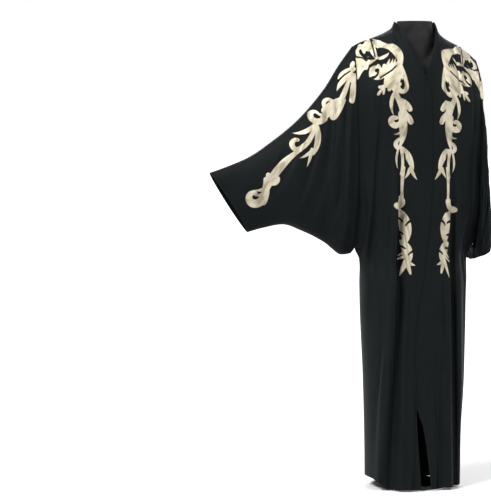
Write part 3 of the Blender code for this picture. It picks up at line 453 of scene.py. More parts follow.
# How the body rounds: powers of its flat and its round sides, how far below the underarm
# the side is fully round, and how the shoulders round near the neck and away from it
FLAT_SIDE_POWER = 2.4
ROUND_SIDE_POWERS = (2.6, 2.2)
ROUND_SIDE_BELOW = 0.12
SHOULDER_POWER = 1.15
SHOULDER_POWER_GROWTH = 1.05
SHOULDER_POWER_FROM = 0.03
SHOULDER_POWER_TO = 0.10
NECK_V_POWER = 0.7
FOLD_SIDE_POWER = 6
HELD_SIDE_POWER = 8
HELD_TOP = 0.02
SIDE_CROWDING = 0.86
SHORTEST = 1e-12
RIPPLE = 0.0011
RIPPLE_ACROSS = 26.0
RIPPLE_DOWN = 3.2
RIPPLE_FINE = 2.6
RIPPLE_SEEDS = {"front": 0.0, "back": 4.0}
BACK_COLUMNS = 132
BACK_CROWDING = 0.65
ARMHOLE_ROWS = 132
SKIRT_ROWS = 128


def ease(low, high, value):
    """0 below low, 1 above high, and a soft step between them."""
    share = np.clip((value - low) / (high - low), 0.0, 1.0)
    return share * share * (3 - 2 * share)


def unit(vectors):
    """The same directions, one long."""
    return vectors / np.maximum(np.linalg.norm(vectors, axis=-1, keepdims=True), SHORTEST)


def fold_rise(folds, x, z):
    """How far the cloth stands out at a place, from all the main folds that pass it."""
    total = np.zeros_like(x)
    drop = np.clip((FOLD_CHEST - z) / FOLD_CHEST, 0.0, 1.0)
    for fold in folds:
        upper = fold.chest + (fold.knee - fold.chest) * np.clip(2 * drop, 0.0, 1.0)
        middle = upper + (fold.hem - fold.knee) * np.clip(2 * drop - 1, 0.0, 1.0)
        fades = ease(fold.bottom, fold.bottom + FOLD_LOW_FADE, z)
        fades = fades * (1 - ease(fold.top - FOLD_TOP_FADE, fold.top, z))
        growth = FOLD_GROWTH[0] + FOLD_GROWTH[1] * drop
        total += fold.rise * growth * fades * np.exp(-((x - middle) / fold.width) ** 2)
    return total


def crease_rise(creases, across, up):
    """How far the finer creases lift or sink the cloth, uneven along their length."""
    total = np.zeros_like(across)
    for number, crease in enumerate(creases):
        run_x = crease.low_x - crease.top_x
        run_z = crease.low_z - crease.top_z
        length = math.hypot(run_x, run_z)
        from_x = across - crease.top_x
        from_z = up - crease.top_z
        along = np.clip((from_x * run_x + from_z * run_z) / length ** 2, 0.0, 1.0)
        sway = CREASE_SWAY * np.sin(CREASE_SWAY_WAVES * along + CREASE_SWAY_STEP * number)
        beside = (from_z * run_x - from_x * run_z) / length - crease.bow * 4 * along * (1 - along) - sway
        beyond = (from_x * run_x + from_z * run_z) / length - along * length
        fades = ease(0.0, CREASE_START, along) * (1 - ease(CREASE_END, 1.0, along))
        fades = fades * np.exp(-(beyond / CREASE_PAST_END) ** 2)
        wander = 1 + CREASE_WANDER * np.sin(CREASE_WANDER_WAVES * along + CREASE_WANDER_STEP * number)
        width = crease.width * (CREASE_GROWTH[0] + CREASE_GROWTH[1] * along)
        own = beside / (width * (1 + crease.lean * np.sign(beside)))
        steep = -1.0 if crease.lean > 0 else 1.0
        next_to = (beside - steep * BESIDE_PLACE * width) / (BESIDE_WIDTH * width)
        total += crease.rise * fades * wander * (np.exp(-own ** 2) - BESIDE_SHARE * np.exp(-next_to ** 2))
    return total


def ripple(across, up, seed):
    """The cloth's slow unevenness, longer down than across, and a finer one over it."""
    flat = []
    for a, b in zip((across * RIPPLE_ACROSS).ravel().tolist(), (up * RIPPLE_DOWN).ravel().tolist()):
        slow = noise.noise(Vector((a, seed, b)))
        fine = noise.noise(Vector((a * RIPPLE_FINE, seed + 0.5, b * RIPPLE_FINE)))
        flat.append(slow + fine / RIPPLE_FINE)
    return RIPPLE * np.array(flat).reshape(across.shape)


def down_armhole(x, z):
    """Shares of the way from the shoulder's tip down to the underarm."""
    tip = np.where(x > 0, SHOULDER[-1].left, SHOULDER[-1].right)
    return np.clip((tip - z) / (tip - UNDERARM), 0.0, 1.0)


def armhole_half_gap(x, share, out):
    """How far front and back stand from the armhole's middle, softer away from its edge."""
    gap = np.where(x > 0, ARMHOLE_GAP["left"], ARMHOLE_GAP["right"])
    loop = np.sqrt(np.clip(4 * share * (1 - share), 0.0, 1.0))
    soft = ease(0.0, GAP_SOFT_ENDS, share) * (1 - ease(1 - GAP_SOFT_ENDS, 1.0, share))
    return SEAM / 2 + gap * (soft + (loop - soft) * out ** GAP_SOFT_FADE)


def by_side(x, table, key, value):
    """A table's left or right column, by the side that each x is on."""
    return np.where(x > 0, read(table, key, "left", value), read(table, key, "right", value))


def neckline(face, x):
    """Height and y of the cloth's upper edge over x, on the neck and along the shoulder."""
    away = np.abs(x)
    shoulder_z = by_side(x, SHOULDER, "across", away)
    inside = np.clip(1 - (away / NECK_HALF) ** 2, 0.0, 1.0)
    if face == "front":
        slope = (NECK_POINT - NECK_CROSSING) / (NECK_HALF + CROSSING_X)
        neck_z = NECK_POINT - np.clip(NECK_HALF - away, 0.0, None) * slope
        neck_y = -SEAM / 2 - NECK_V_DEPTH * inside ** NECK_V_POWER
    else:
        neck_z = NECK_POINT + (NECK_BACK - NECK_POINT) * np.sqrt(inside)
        neck_y = SEAM / 2 + NECK_BEHIND * np.sqrt(inside)
    return np.where(away < NECK_HALF, neck_z, shoulder_z), neck_y


def body_surface(face, x, z):
    """The y of the garment's body, in front or behind, at any x and z."""
    sign = -1.0 if face == "front" else 1.0
    out = np.clip(np.abs(x) / by_side(x, BODY, "height", z), 0.0, 1.0)
    flat_side = out ** FLAT_SIDE_POWER
    round_side = 1 - (1 - out ** ROUND_SIDE_POWERS[0]) ** (1 / ROUND_SIDE_POWERS[1])
    rounding = 1 - ease(UNDERARM - ROUND_SIDE_BELOW, UNDERARM, z)
    toward_side = flat_side + (round_side - flat_side) * rounding
    top_z, top_y = neckline(face, x)
    away_from_neck = ease(SHOULDER_POWER_FROM, SHOULDER_POWER_TO, np.abs(x))
    power = SHOULDER_POWER + SHOULDER_POWER_GROWTH * away_from_neck
    fall = np.clip((top_z - z) / (top_z - CHEST), 0.0, 1.0)
    bulge = (1 - (1 - fall) ** power) ** (1 / power)
    edge_gap = armhole_half_gap(x, down_armhole(x, z), out)
    depth = read(BODY, "height", face, z)
    depth = depth + fold_rise(FOLDS[face], x, z) * (1 - out ** FOLD_SIDE_POWER)
    middle = top_y + (sign * depth - top_y) * bulge
    return middle + (sign * edge_gap - middle) * toward_side


def armhole_steps():
    """Shares of the way down the armhole, close together at both of its ends."""
    return (1 - np.cos(math.pi * np.arange(ARMHOLE_ROWS + 1) / ARMHOLE_ROWS)) / 2


def rows_down(face, side, share_out, top_z):
    """Heights of a column's points, from its top to the underarm and the hem."""
    upper = top_z + (UNDERARM - top_z) * armhole_steps()
    hem = HEM[face] + (HEM_SIDE[side] - HEM[face]) * ease(HEM_RISES_FROM[face], 1.0, share_out)
    lower = np.arange(1, SKIRT_ROWS + 1) / SKIRT_ROWS
    return np.concatenate([upper, UNDERARM + (hem - UNDERARM) * lower])


def crowd(steps, share):
    """Even steps, drawn together toward the sides by a share."""
    bent = np.sin(steps * math.pi / 2 * SIDE_CROWDING)
    return (1 - share) * steps + share * bent / math.sin(math.pi / 2 * SIDE_CROWDING)


def free_share(across, points):
    """How free the creases are at each point: not at all along the sides and the top."""
    from_top = points[0, :, 2] - points[..., 2]
    return (1 - np.abs(across) ** HELD_SIDE_POWER)[None, :] * ease(0.0, HELD_TOP, from_top)


def grid_normals(points, toward):
    """Outward directions at a grid's points, all on the side of a rough direction."""
    normals = unit(np.cross(np.gradient(points, axis=1), np.gradient(points, axis=0)))
    return normals if (normals * toward).sum() > 0 else -normals


def cell_lengths(points, axis):
    """Lengths of a grid's cells, down it on axis 0 and across it on axis 1."""
    return np.linalg.norm(np.diff(points, axis=axis), axis=-1)


def lengths_along(points, axis):
    """Distances along the cloth from a grid's first row or column."""
    return np.insert(np.cumsum(cell_lengths(points, axis), axis=axis), 0, 0.0, axis=axis)


def flat_places(points):
    """Each point's place on the flat cut, from distances along the cloth."""
    return np.stack([lengths_along(points, 1), -lengths_along(points, 0)], axis=2)


def settle(points, face, across):
    """Press the finer creases into a body panel, leaving its sewn edges where they are."""
    toward = np.array((0.0, -1.0 if face == "front" else 1.0, 0.0))
    x = points[..., 0]
    z = points[..., 2]
    lift = crease_rise(CREASES[face], x, z) + ripple(x, z, RIPPLE_SEEDS[face])
    share = down_armhole(x, z)
    from_side = by_side(x, BODY, "height", z) - np.abs(x)
    sink = SEAM_SINK * np.exp(-(from_side / SEAM_SINK_WIDTH) ** 2) * np.sqrt(4 * share * (1 - share))
    lift = lift * free_share(across, points)
    return points + grid_normals(points, toward) * lift[..., None] - toward * sink[..., None]


def hang(name, points, edge, closed=False, inside=None, toward=None):
    """A thin shell of cloth through a grid of points, with each point's way to a free edge."""
    cloth = lay_grid(name, points, flat_places(points))
    way = cloth.data.attributes.new("edge", "FLOAT", "POINT")
    way.data.foreach_set("value", edge.astype(np.float32).ravel())
    if closed:
        close_tube(cloth)
        face_out(cloth, inside)
    elif sum(face.normal.dot(toward) * face.area for face in cloth.data.polygons) < 0:
        cloth.data.flip_normals()
    bpy.ops.object.modifier_add(type="SOLIDIFY")
    wall = cloth.modifiers[-1]
    wall.thickness = CLOTH_SHOWN
    wall.offset = -1.0
    bpy.ops.object.modifier_apply(modifier=wall.name)
    bpy.ops.object.shade_smooth_by_angle(angle=CLOTH_CREASE_ANGLE)
    return cloth


def back_points():
    """The back's outer face, in columns from the wearer's right to left."""
    across = crowd(np.linspace(-1.0, 1.0, BACK_COLUMNS + 1), BACK_CROWDING)
    neck_share = NECK_HALF / SHOULDER[-1].across
    neck_place = np.argmin(np.abs(across - neck_share))
    across[neck_place] = neck_share
    across[-1 - neck_place] = -neck_share
    columns = []
    for share_out in across:
        side = "left" if share_out > 0 else "right"
        top_z = float(neckline("back", np.array(share_out * SHOULDER[-1].across))[0])
        z = rows_down("back", side, abs(share_out), top_z)
        x = share_out * read(BODY, "height", side, z)
        columns.append(np.stack([x, body_surface("back", x, z), z], axis=1))
    return settle(np.stack(columns, axis=1), "back", across)


def hem_edge(points):
    """How far each point is from the hem."""
    return points[..., 2] - points[-1:, :, 2]


def add_range(material, source, output, low, high):
    """A node that turns an output from low to high into a share from 0 to 1."""
    spread = add_node(material, "MapRange", from_min=low, from_max=high)
    join(material, source, output, spread, "Value")
    return spread


def add_mix(material, share, *colors):
    """A blend of two colours by a share; each is a plain colour or a node's output."""
    mix = add_node(material, "Mix", data_type="RGBA")
    join(material, share, "Result", mix, 0)
    for entry, color in zip([entry for entry in mix.inputs if entry.type == "RGBA"], colors):
        if isinstance(color, tuple):
            entry.default_value = color
        else:
            material.node_tree.links.new(color, entry)
    return next(output for output in mix.outputs if output.type == "RGBA")


CREPE_COLOR = (0.0043, 0.0064, 0.0067, 1.0)
CREPE_LIT_COLOR = (0.0060, 0.0084, 0.0087, 1.0)
CREPE_WORN_COLOR = (0.0120, 0.0135, 0.0140, 1.0)
CREPE_ROUGHNESS = 0.70
CREPE_FINISH = (
    ("Sheen Weight", 0.07),
    ("Sheen Roughness", 0.35),
    ("Sheen Tint", (0.82, 0.90, 1.00, 1.0)),
    ("Specular IOR Level", 0.10),
)
CREPE_SHINY = (0.50, 0.50, 0.50, 1.0)
CREPE_DULL = (0.66, 0.66, 0.66, 1.0)
CREPE_CLOUD = {"scale": 9.0, "detail": 5.0, "roughness": 0.6}
CREPE_CLOUD_STOPS = ((0.36, CREPE_COLOR), (0.72, CREPE_LIT_COLOR))
CREPE_WEAR = 0.0015
CREPE_GRAIN = {"scale": 1 / 0.0011, "detail": 3.0, "roughness": 0.6, "distortion": 0.8}
CREPE_GRAIN_HEIGHT = 0.00016
CREPE_SHINE_STOPS = ((0.30, CREPE_SHINY), (0.80, CREPE_DULL))
CREPE_THREAD = 0.00045
CREPE_WARP = {"scale": WAVE_PERIOD / CREPE_THREAD, "distortion": 1.2, "detail": 2.0}
CREPE_WEFT = {"scale": WAVE_PERIOD / CREPE_THREAD, "distortion": 1.2, "bands_direction": "Y"}
CREPE_THREAD_HEIGHT = 0.00006
STITCH_LINE = 0.0120
STITCH_WIDTH = 0.0010
STITCH_DEPTH = 0.0006

crepe, crepe_shader = start_material("black_crepe", CREPE_COLOR, CREPE_ROUGHNESS, CREPE_FINISH)
crepe_place = add_node(crepe, "UVMap").outputs["UV"]
crepe_grain = add_pattern(crepe, crepe_place, "TexNoise", **CREPE_GRAIN)
crepe_warp = add_pattern(crepe, crepe_place, "TexWave", **CREPE_WARP)
crepe_weft = add_pattern(crepe, crepe_place, "TexWave", **CREPE_WEFT)
crepe_cloud = add_pattern(crepe, crepe_place, "TexNoise", **CREPE_CLOUD)
crepe_color = add_ramp(crepe, crepe_cloud, CREPE_CLOUD_STOPS)
crepe_edge = add_node(crepe, "Attribute", attribute_name="edge")
crepe_wear = add_range(crepe, crepe_edge, "Fac", CREPE_WEAR, 0.0)
feed(crepe, add_mix(crepe, crepe_wear, crepe_color, CREPE_WORN_COLOR), crepe_shader, "Base Color")
feed(crepe, add_ramp(crepe, crepe_grain, CREPE_SHINE_STOPS), crepe_shader, "Roughness")
stitch_way = add_node(crepe, "Math", operation="SUBTRACT")
join(crepe, crepe_edge, "Fac", stitch_way, 0)
stitch_way.inputs[1].default_value = STITCH_LINE
stitch_off = add_node(crepe, "Math", operation="ABSOLUTE")
join(crepe, stitch_way, "Value", stitch_off, 0)
stitch_dent = add_range(crepe, stitch_off, "Value", 0.0, STITCH_WIDTH)
add_bump(crepe, crepe_shader, (
    (crepe_warp, "Fac", CREPE_THREAD_HEIGHT),
    (crepe_weft, "Fac", CREPE_THREAD_HEIGHT),
    (crepe_grain, "Fac", CREPE_GRAIN_HEIGHT),
    (stitch_dent, "Result", STITCH_DEPTH),
))

back = back_points()
back_cloth = hang("crepe_back", back, hem_edge(back), toward=Vector((0.0, 1.0, 0.0)))
finish_piece(back_cloth, crepe, "back")


# The fronts: two panels of the same crepe, cut with the V of the neck. The wearer's
# right front lies over the left one, and both hang open in a slit above the hem.
Edge = namedtuple("Edge", "height right left")
FRONT_EDGE = rows_of(
    Edge,
    (0.016, -0.019, 0.014),
    (0.18, -0.03, -0.007),
    (0.3, -0.034, -0.04),
    (0.46, -0.041, -0.066),
    (0.7, -0.008, -0.048),
    (1.0, 0.02, -0.024),
    (1.266, 0.016, -0.016),
)
UNDER_LAYER = 0.0030
UNDER_FADE = 0.030
NECK_COLUMNS = 34
SHOULDER_COLUMNS = 74
FRONT_CROWDING = 0.5
NECK_SHARE = 0.37


def v_edge_x(side, z):
    """Where the V neck's edge runs on one front, as x at a height above the crossing."""
    climb = (z - NECK_CROSSING) / (NECK_POINT - NECK_CROSSING)
    edge = CROSSING_X - climb * (CROSSING_X + NECK_HALF)
    return edge if side == "right" else -edge


def front_points(side):
    """One front's outer face, in columns from its free edge to its side."""
    sign = -1.0 if side == "right" else 1.0
    reach = CROSSING_X + SHOULDER[-1].across
    neck_share = (CROSSING_X + NECK_HALF) / reach
    near_neck = neck_share * np.arange(NECK_COLUMNS) / NECK_COLUMNS
    steps = np.arange(SHOULDER_COLUMNS + 1) / SHOULDER_COLUMNS
    across = np.concatenate([near_neck, neck_share + (1 - neck_share) * crowd(steps, FRONT_CROWDING)])
    columns = []
    for share_out in across:
        top_x = sign * (-CROSSING_X + share_out * reach)
        if sign * top_x < NECK_HALF:
            climb = (sign * top_x + CROSSING_X) / (CROSSING_X + NECK_HALF)
            top_z = NECK_CROSSING + (NECK_POINT - NECK_CROSSING) * climb
        else:
            top_z = float(read(SHOULDER, "across", side, abs(top_x)))
        z = rows_down("front", side, share_out, top_z)
        edge_x = read(FRONT_EDGE, "height", side, z)
        x = edge_x + (sign * read(BODY, "height", side, z) - edge_x) * share_out
        y = body_surface("front", x, z)
        if side == "left":
            over_x = np.where(z > NECK_CROSSING, v_edge_x("right", z), read(FRONT_EDGE, "height", "right", z))
            y = y + UNDER_LAYER * ease(-UNDER_FADE, 0.0, over_x - x)
        columns.append(np.stack([x, y, z], axis=1))
    return settle(np.stack(columns, axis=1), "front", across), across


def front_edge_way(points, across):
    """How far each point is from the front edge, the V neck or the hem."""
    places = flat_places(points)
    from_side = places[..., 0]
    from_neck = np.where(across[None, :] < NECK_SHARE, -places[..., 1], 1.0)
    return np.minimum(np.minimum(from_side, from_neck), hem_edge(points))


fronts = {}
for side in ("right", "left"):
    fronts[side], across = front_points(side)
    edge = front_edge_way(fronts[side], across)
    cloth = hang("crepe_front_" + side, fronts[side], edge, toward=Vector((0.0, -1.0, 0.0)))
    finish_piece(cloth, crepe, "front_" + side)


# The sleeves: wide batwing tubes of the same crepe, each cut in one piece with a seam
# under the arm. The wearer's right one is spread to the side, and the left one hangs.
# Rings of a sleeve: share of the way from the armhole to the cuff, x and z of its top line
# and of its low line, and how far its front and back stand from the middle
Station = namedtuple("Station", "share top_x top_z low_x low_z gap")
SLEEVES = {
    "right": rows_of(
        Station,
        (0.0, -0.207, 1.402, -0.197, 0.766, ARMHOLE_GAP["right"]),
        (0.08, -0.2464, 1.349, -0.214, 0.748, 0.07),
        (0.22, -0.3017, 1.265, -0.242, 0.745, 0.07),
        (0.38, -0.3876, 1.169, -0.3, 0.786, 0.063),
        (0.55, -0.47, 1.104, -0.37, 0.821, 0.055),
        (0.72, -0.54, 1.058, -0.437, 0.843, 0.047),
        (0.88, -0.6195, 1.025, -0.504, 0.832, 0.038),
        (1.0, -0.672, 1.007, -0.55, 0.82, 0.031),
    ),
    "left": rows_of(
        Station,
        (0.0, 0.207, 1.364, 0.197, 0.766, ARMHOLE_GAP["left"]),
        (0.08, 0.215, 1.33, 0.2, 0.745, 0.081),
        (0.25, 0.217, 1.235, 0.198, 0.732, 0.096),
        (0.45, 0.221, 1.11, 0.198, 0.726, 0.106),
        (0.65, 0.227, 0.985, 0.198, 0.724, 0.112),
        (0.85, 0.236, 0.862, 0.197, 0.726, 0.113),
        (1.0, 0.244, 0.778, 0.197, 0.73, 0.108),
    ),
}
# Main folds of the sleeves: where each is on the top line and on the low line, as shares of
# the way from the armhole to the cuff, its half width, and how far it stands out
SleeveFold = namedtuple("SleeveFold", "at_top at_low width rise")
SLEEVE_FOLDS = {
    "right": rows_of(
        SleeveFold,
        (0.1, 0.22, 0.05, 0.006),
        (0.2, 0.38, 0.05, -0.008),
        (0.36, 0.62, 0.07, 0.006),
        (0.62, 0.8, 0.08, -0.005),
    ),
    "left": rows_of(
        SleeveFold,
        (0.18, 0.16, 0.05, -0.01),
        (0.36, 0.34, 0.06, 0.008),
        (0.56, 0.56, 0.06, -0.01),
        (0.8, 0.8, 0.07, 0.006),
    ),
}
# On the hanging sleeve a crease's x is its y, because its outer side faces +X
SLEEVE_CREASES = {
    "right": rows_of(
        Crease,
        (-0.224, 1.3, -0.246, 0.79, -0.006, 0.014, 0.006, 0.35),
        (-0.24, 1.31, -0.3, 0.78, 0.016, 0.01, -0.0052, -0.4),
        (-0.262, 1.27, -0.345, 0.83, 0.016, 0.013, 0.005, 0.4),
        (-0.215, 1.1, -0.232, 0.78, -0.004, 0.0065, -0.0044, 0.35),
        (-0.305, 1.21, -0.43, 0.86, 0.014, 0.011, -0.0044, -0.35),
        (-0.36, 1.15, -0.5, 0.88, 0.012, 0.013, 0.0042, 0.35),
        (-0.43, 1.09, -0.56, 0.9, 0.008, 0.009, -0.0032, 0.3),
        (-0.2, 0.812, -0.3, 0.772, 0.005, 0.007, -0.0046, 0.35),
    ),
    "left": rows_of(
        Crease,
        (-0.062, 1.26, -0.058, 0.64, -0.006, 0.009, -0.0075, 0.45),
        (-0.036, 1.3, -0.03, 0.62, 0.006, 0.01, 0.006, -0.4),
        (-0.006, 1.24, -0.002, 0.64, -0.005, 0.009, -0.0075, -0.45),
        (0.028, 1.29, 0.03, 0.62, 0.006, 0.01, 0.006, 0.4),
        (0.056, 1.2, 0.062, 0.64, 0.004, 0.009, -0.007, 0.45),
        (0.084, 1.08, 0.088, 0.64, -0.004, 0.008, 0.005, -0.4),
        (-0.088, 1.06, -0.092, 0.64, 0.004, 0.008, 0.005, 0.4),
    ),
}
SLEEVE_SHARES = 112
SLEEVE_CROWDING = 1.15
ROOT_BLEND = 0.05
SLEEVE_FOLD_FROM = 0.10
SLEEVE_FREE_FROM = 0.02
SLEEVE_FREE_TO = 0.14
INNER_LIFT = 1.3
INNER_FROM = 0.35
INNER_TO = 0.65
SLEEVE_SEEDS = {"right": 8.0, "left": 12.0}


def sleeve_points(side):
    """A sleeve's outer face: rings round it, from the armhole to the cuff.

    Each ring starts at the top line and passes the front, the low line and the back."""
    stations = SLEEVES[side]
    sign = -1.0 if side == "right" else 1.0
    down = armhole_steps()
    around = np.concatenate([down, down[-2::-1]])
    face = np.concatenate([-np.ones(ARMHOLE_ROWS + 1), np.ones(ARMHOLE_ROWS)])
    face[0] = 0.0
    face[ARMHOLE_ROWS] = 0.0
    face[-1] = 0.0
    loop = np.sqrt(np.clip(4 * around * (1 - around), 0.0, 1.0))
    root = stations[0]
    root_z = root.top_z + (root.low_z - root.top_z) * around
    root_x = root.top_x + (root.low_x - root.top_x) * around
    to_seam = sign * read(BODY, "height", side, np.maximum(root_z, UNDERARM)) - root_x
    rings = []
    for step in np.arange(SLEEVE_SHARES + 1) / SLEEVE_SHARES:
        share = step ** SLEEVE_CROWDING
        top_x, top_z, low_x, low_z, gap = [
            float(read(stations, "share", name, share)) for name in Station._fields[1:]
        ]
        z = top_z + (low_z - top_z) * around
        straight_x = top_x + (low_x - top_x) * around
        x = straight_x + to_seam * math.exp(-((share / ROOT_BLEND) ** 2)) + sign * SEAM
        rise = np.zeros_like(around)
        for fold in SLEEVE_FOLDS[side]:
            middle = fold.at_top + (fold.at_low - fold.at_top) * around
            rise += fold.rise * np.exp(-(((share - middle) / fold.width) ** 2)) * loop
        rise *= ease(0.0, SLEEVE_FOLD_FROM, share)
        y = face * ((gap + SEAM / 2) * loop + rise)
        rings.append(np.stack([x, y, z], axis=1))
    points = np.stack(rings, axis=0)
    normals = grid_normals(points, np.array((0.0, 1.0, 0.0)))
    turned = points.shape[1] // 4
    if normals[points.shape[0] // 2, turned, 1] > 0:
        normals = -normals
    normals[:, 0] = unit(normals[:, 1] + normals[:, -2])
    normals[:, -1] = normals[:, 0]
    loose = ease(SLEEVE_FREE_FROM, SLEEVE_FREE_TO, np.arange(SLEEVE_SHARES + 1) / SLEEVE_SHARES)[:, None]
    seed = SLEEVE_SEEDS[side]
    if side == "right":
        lift = crease_rise(SLEEVE_CREASES[side], points[..., 0], points[..., 2]) * loop
        lift = lift + ripple(points[..., 0], points[..., 2], seed) * loop
    else:
        outer = 1 - INNER_LIFT * ease(INNER_FROM, INNER_TO, around)
        lift = crease_rise(SLEEVE_CREASES[side], points[..., 1], points[..., 2]) * outer
        lift = lift + ripple(points[..., 1], points[..., 2], seed)
    from_root = np.linalg.norm(points - points[:1], axis=-1)
    sink = SEAM_SINK * np.exp(-(from_root / SEAM_SINK_WIDTH) ** 2) * loop * face
    points[..., 1] -= sink
    return points + normals * (lift * loose)[..., None]


def cuff_way(points):
    """How far each point of a sleeve is from the cuff's edge."""
    along = lengths_along(points, 0)
    return along[-1][None, :] - along


sleeves = {}
for side in ("right", "left"):
    sleeves[side] = sleeve_points(side)
    middle = Vector(sleeves[side][SLEEVE_SHARES // 2].mean(axis=0))
    cloth = hang("crepe_sleeve_" + side, sleeves[side], cuff_way(sleeves[side]), closed=True, inside=middle)
    finish_piece(cloth, crepe, "sleeve_" + side)


# The scrolls: leaves and volutes of champagne satin, laid on the fronts and sleeves and
# sewn down all round with a dark rolled edge. Each one bends as it goes.
STROKE_STEPS = 14
# Strokes: where each starts, in metres across its panel and up from the floor, its heading in
# degrees (0 is up, 90 is back across), its length, how it bends at both ends, and its widths.
# Across is from the middle, and on the hanging sleeve from a line a little behind its own.
Stroke = namedtuple("Stroke", "across up heading length bend_start bend_end wide_start wide_middle wide_end")
FRONT_SCROLLS = rows_of(
    Stroke,
    (0.148, 1.427, 150, 0.024, -10, -10, 0.002, 0.01, 0.016),
    (0.14, 1.404, 108, 0.032, 5, 5, 0.03, 0.021, 0.018),
    (0.111, 1.393, 108, 0.064, 45, 20, 0.018, 0.029, 0.015),
    (0.084, 1.343, 170, 0.07, -16, 14, 0.015, 0.021, 0.017),
    (0.063, 1.277, 174, 0.056, 85, 170, 0.017, 0.017, 0.01),
    (0.146, 1.358, 103, 0.042, -30, -46, 0.008, 0.011, 0.002),
    (0.158, 1.427, 178, 0.072, -10, -4, 0.012, 0.018, 0.007),
    (0.184, 1.398, 250, 0.062, -92, -104, 0.006, 0.014, 0.003),
    (0.178, 1.41, 212, 0.018, 0, 0, 0.012, 0.015, 0.011),
    (0.171, 1.412, 192, 0.024, 0, 0, 0.016, 0.018, 0.01),
    (0.164, 1.415, 180, 0.026, 0, 0, 0.016, 0.016, 0.012),
    (0.148, 1.355, 270, 0.058, 0, 20, 0.004, 0.01, 0.014),
    (0.149, 1.3545, 248, 0.07, -10, -22, 0.004, 0.01, 0.016),
    (0.158, 1.351, 256, 0.05, 0, 0, 0.006, 0.024, 0.046),
    (0.096, 1.329, 246, 0.05, 0, 0, 0.02, 0.029, 0.024),
    (0.139, 1.308, 246, 0.056, 70, 160, 0.024, 0.02, 0.009),
    (0.133, 1.32, 326, 0.017, 0, 0, 0.01, 0.012, 0.014),
    (0.127, 1.322, 6, 0.013, 0, 0, 0.014, 0.014, 0.012),
    (0.119, 1.324, 12, 0.033, 0, 14, 0.018, 0.01, 0.002),
    (0.109, 1.327, 10, 0.029, 0, 20, 0.014, 0.009, 0.002),
    (0.1, 1.33, 8, 0.024, 0, 24, 0.012, 0.008, 0.002),
    (0.112, 1.3, 190, 0.034, 0, 0, 0.026, 0.02, 0.012),
    (0.122, 1.296, 196, 0.018, 0, 0, 0.018, 0.016, 0.011),
    (0.118, 1.279, 258, 0.028, 0, 12, 0.012, 0.012, 0.011),
    (0.133, 1.275, 222, 0.026, 0, 0, 0.01, 0.011, 0.011),
    (0.131, 1.272, 190, 0.018, 0, 0, 0.006, 0.008, 0.007),
    (0.0875, 1.336, 200, 0.064, -5, -8, 0.018, 0.036, 0.024),
    (0.099, 1.276, 174, 0.036, 0, -14, 0.026, 0.017, 0.017),
    (0.0965, 1.25, 154, 0.078, 0, 22, 0.016, 0.022, 0.026),
    (0.1, 1.262, 214, 0.076, -25, -32, 0.01, 0.013, 0.003),
    (0.092, 1.24, 120, 0.052, 5, 28, 0.008, 0.02, 0.018),
    (0.081, 1.199, 126, 0.046, 5, 28, 0.008, 0.02, 0.018),
    (0.083, 1.162, 226, 0.062, 60, 200, 0.018, 0.021, 0.013),
    (0.08, 1.19, 170, 0.104, 5, 30, 0.026, 0.026, 0.007),
    (0.086, 1.112, 262, 0.036, -60, -84, 0.011, 0.016, 0.013),
    (0.086, 1.13, 262, 0.022, 0, 30, 0.01, 0.006, 0.002),
    (0.088, 1.092, 126, 0.086, 24, 18, 0.006, 0.022, 0.012),
    (0.0515, 1.018, 152, 0.042, 0, -14, 0.015, 0.011, 0.002),
    (0.053, 1.018, 202, 0.036, 0, 20, 0.014, 0.01, 0.002),
    (0.085, 1.085, 154, 0.085, 22, 20, 0.008, 0.012, 0.008),
    (0.089, 1.088, 196, 0.07, 0, -44, 0.006, 0.01, 0.003),
    (0.0735, 1.022, 183, 0.102, 0, -8, 0.015, 0.011, 0.01),
    (0.08, 0.93, 140, 0.046, 60, 110, 0.012, 0.024, 0.02),
    (0.08, 0.89, 158, 0.108, 8, 26, 0.01, 0.035, 0.01),
    (0.0755, 0.792, 138, 0.072, 26, 26, 0.01, 0.03, 0.016),
    (0.066, 0.757, 232, 0.024, 0, 0, 0.012, 0.008, 0.002),
    (0.068, 0.742, 240, 0.018, 0, 0, 0.012, 0.009, 0.006),
    (0.061, 0.726, 122, 0.028, 0, -24, 0.014, 0.011, 0.003),
    (0.06, 0.722, 166, 0.034, 0, 0, 0.016, 0.014, 0.009),
    (0.063, 0.727, 200, 0.05, 0, 0, 0.016, 0.012, 0.003),
)
FRONT_SLITS = rows_of(
    Stroke,
    (0.1535, 1.44, 176, 0.076, 0, 0, 0.0012, 0.0018, 0.0014),
    (0.0745, 1.294, 178, 0.024, 0, 10, 0.003, 0.01, 0.006),
    (0.094, 1.331, 234, 0.056, 0, 12, 0.0024, 0.0025, 0.0022),
    (0.145, 1.322, 184, 0.026, 30, 62, 0.0022, 0.0044, 0.0064),
    (0.16, 1.3635, 274, 0.05, 0, 16, 0.0022, 0.0025, 0.0025),
    (0.071, 1.068, 172, 0.04, 0, 14, 0.0014, 0.0038, 0.0024),
    (0.096, 0.87, 112, 0.03, 0, 44, 0.009, 0.005, 0.0024),
    (0.05, 0.856, 236, 0.022, 0, -40, 0.008, 0.0045, 0.0024),
    (0.093, 0.826, 108, 0.026, 0, 40, 0.009, 0.005, 0.0024),
    (0.09, 0.78, 104, 0.028, 0, 44, 0.007, 0.0044, 0.0024),
    (0.043, 0.759, 244, 0.018, 0, -40, 0.007, 0.004, 0.0024),
)
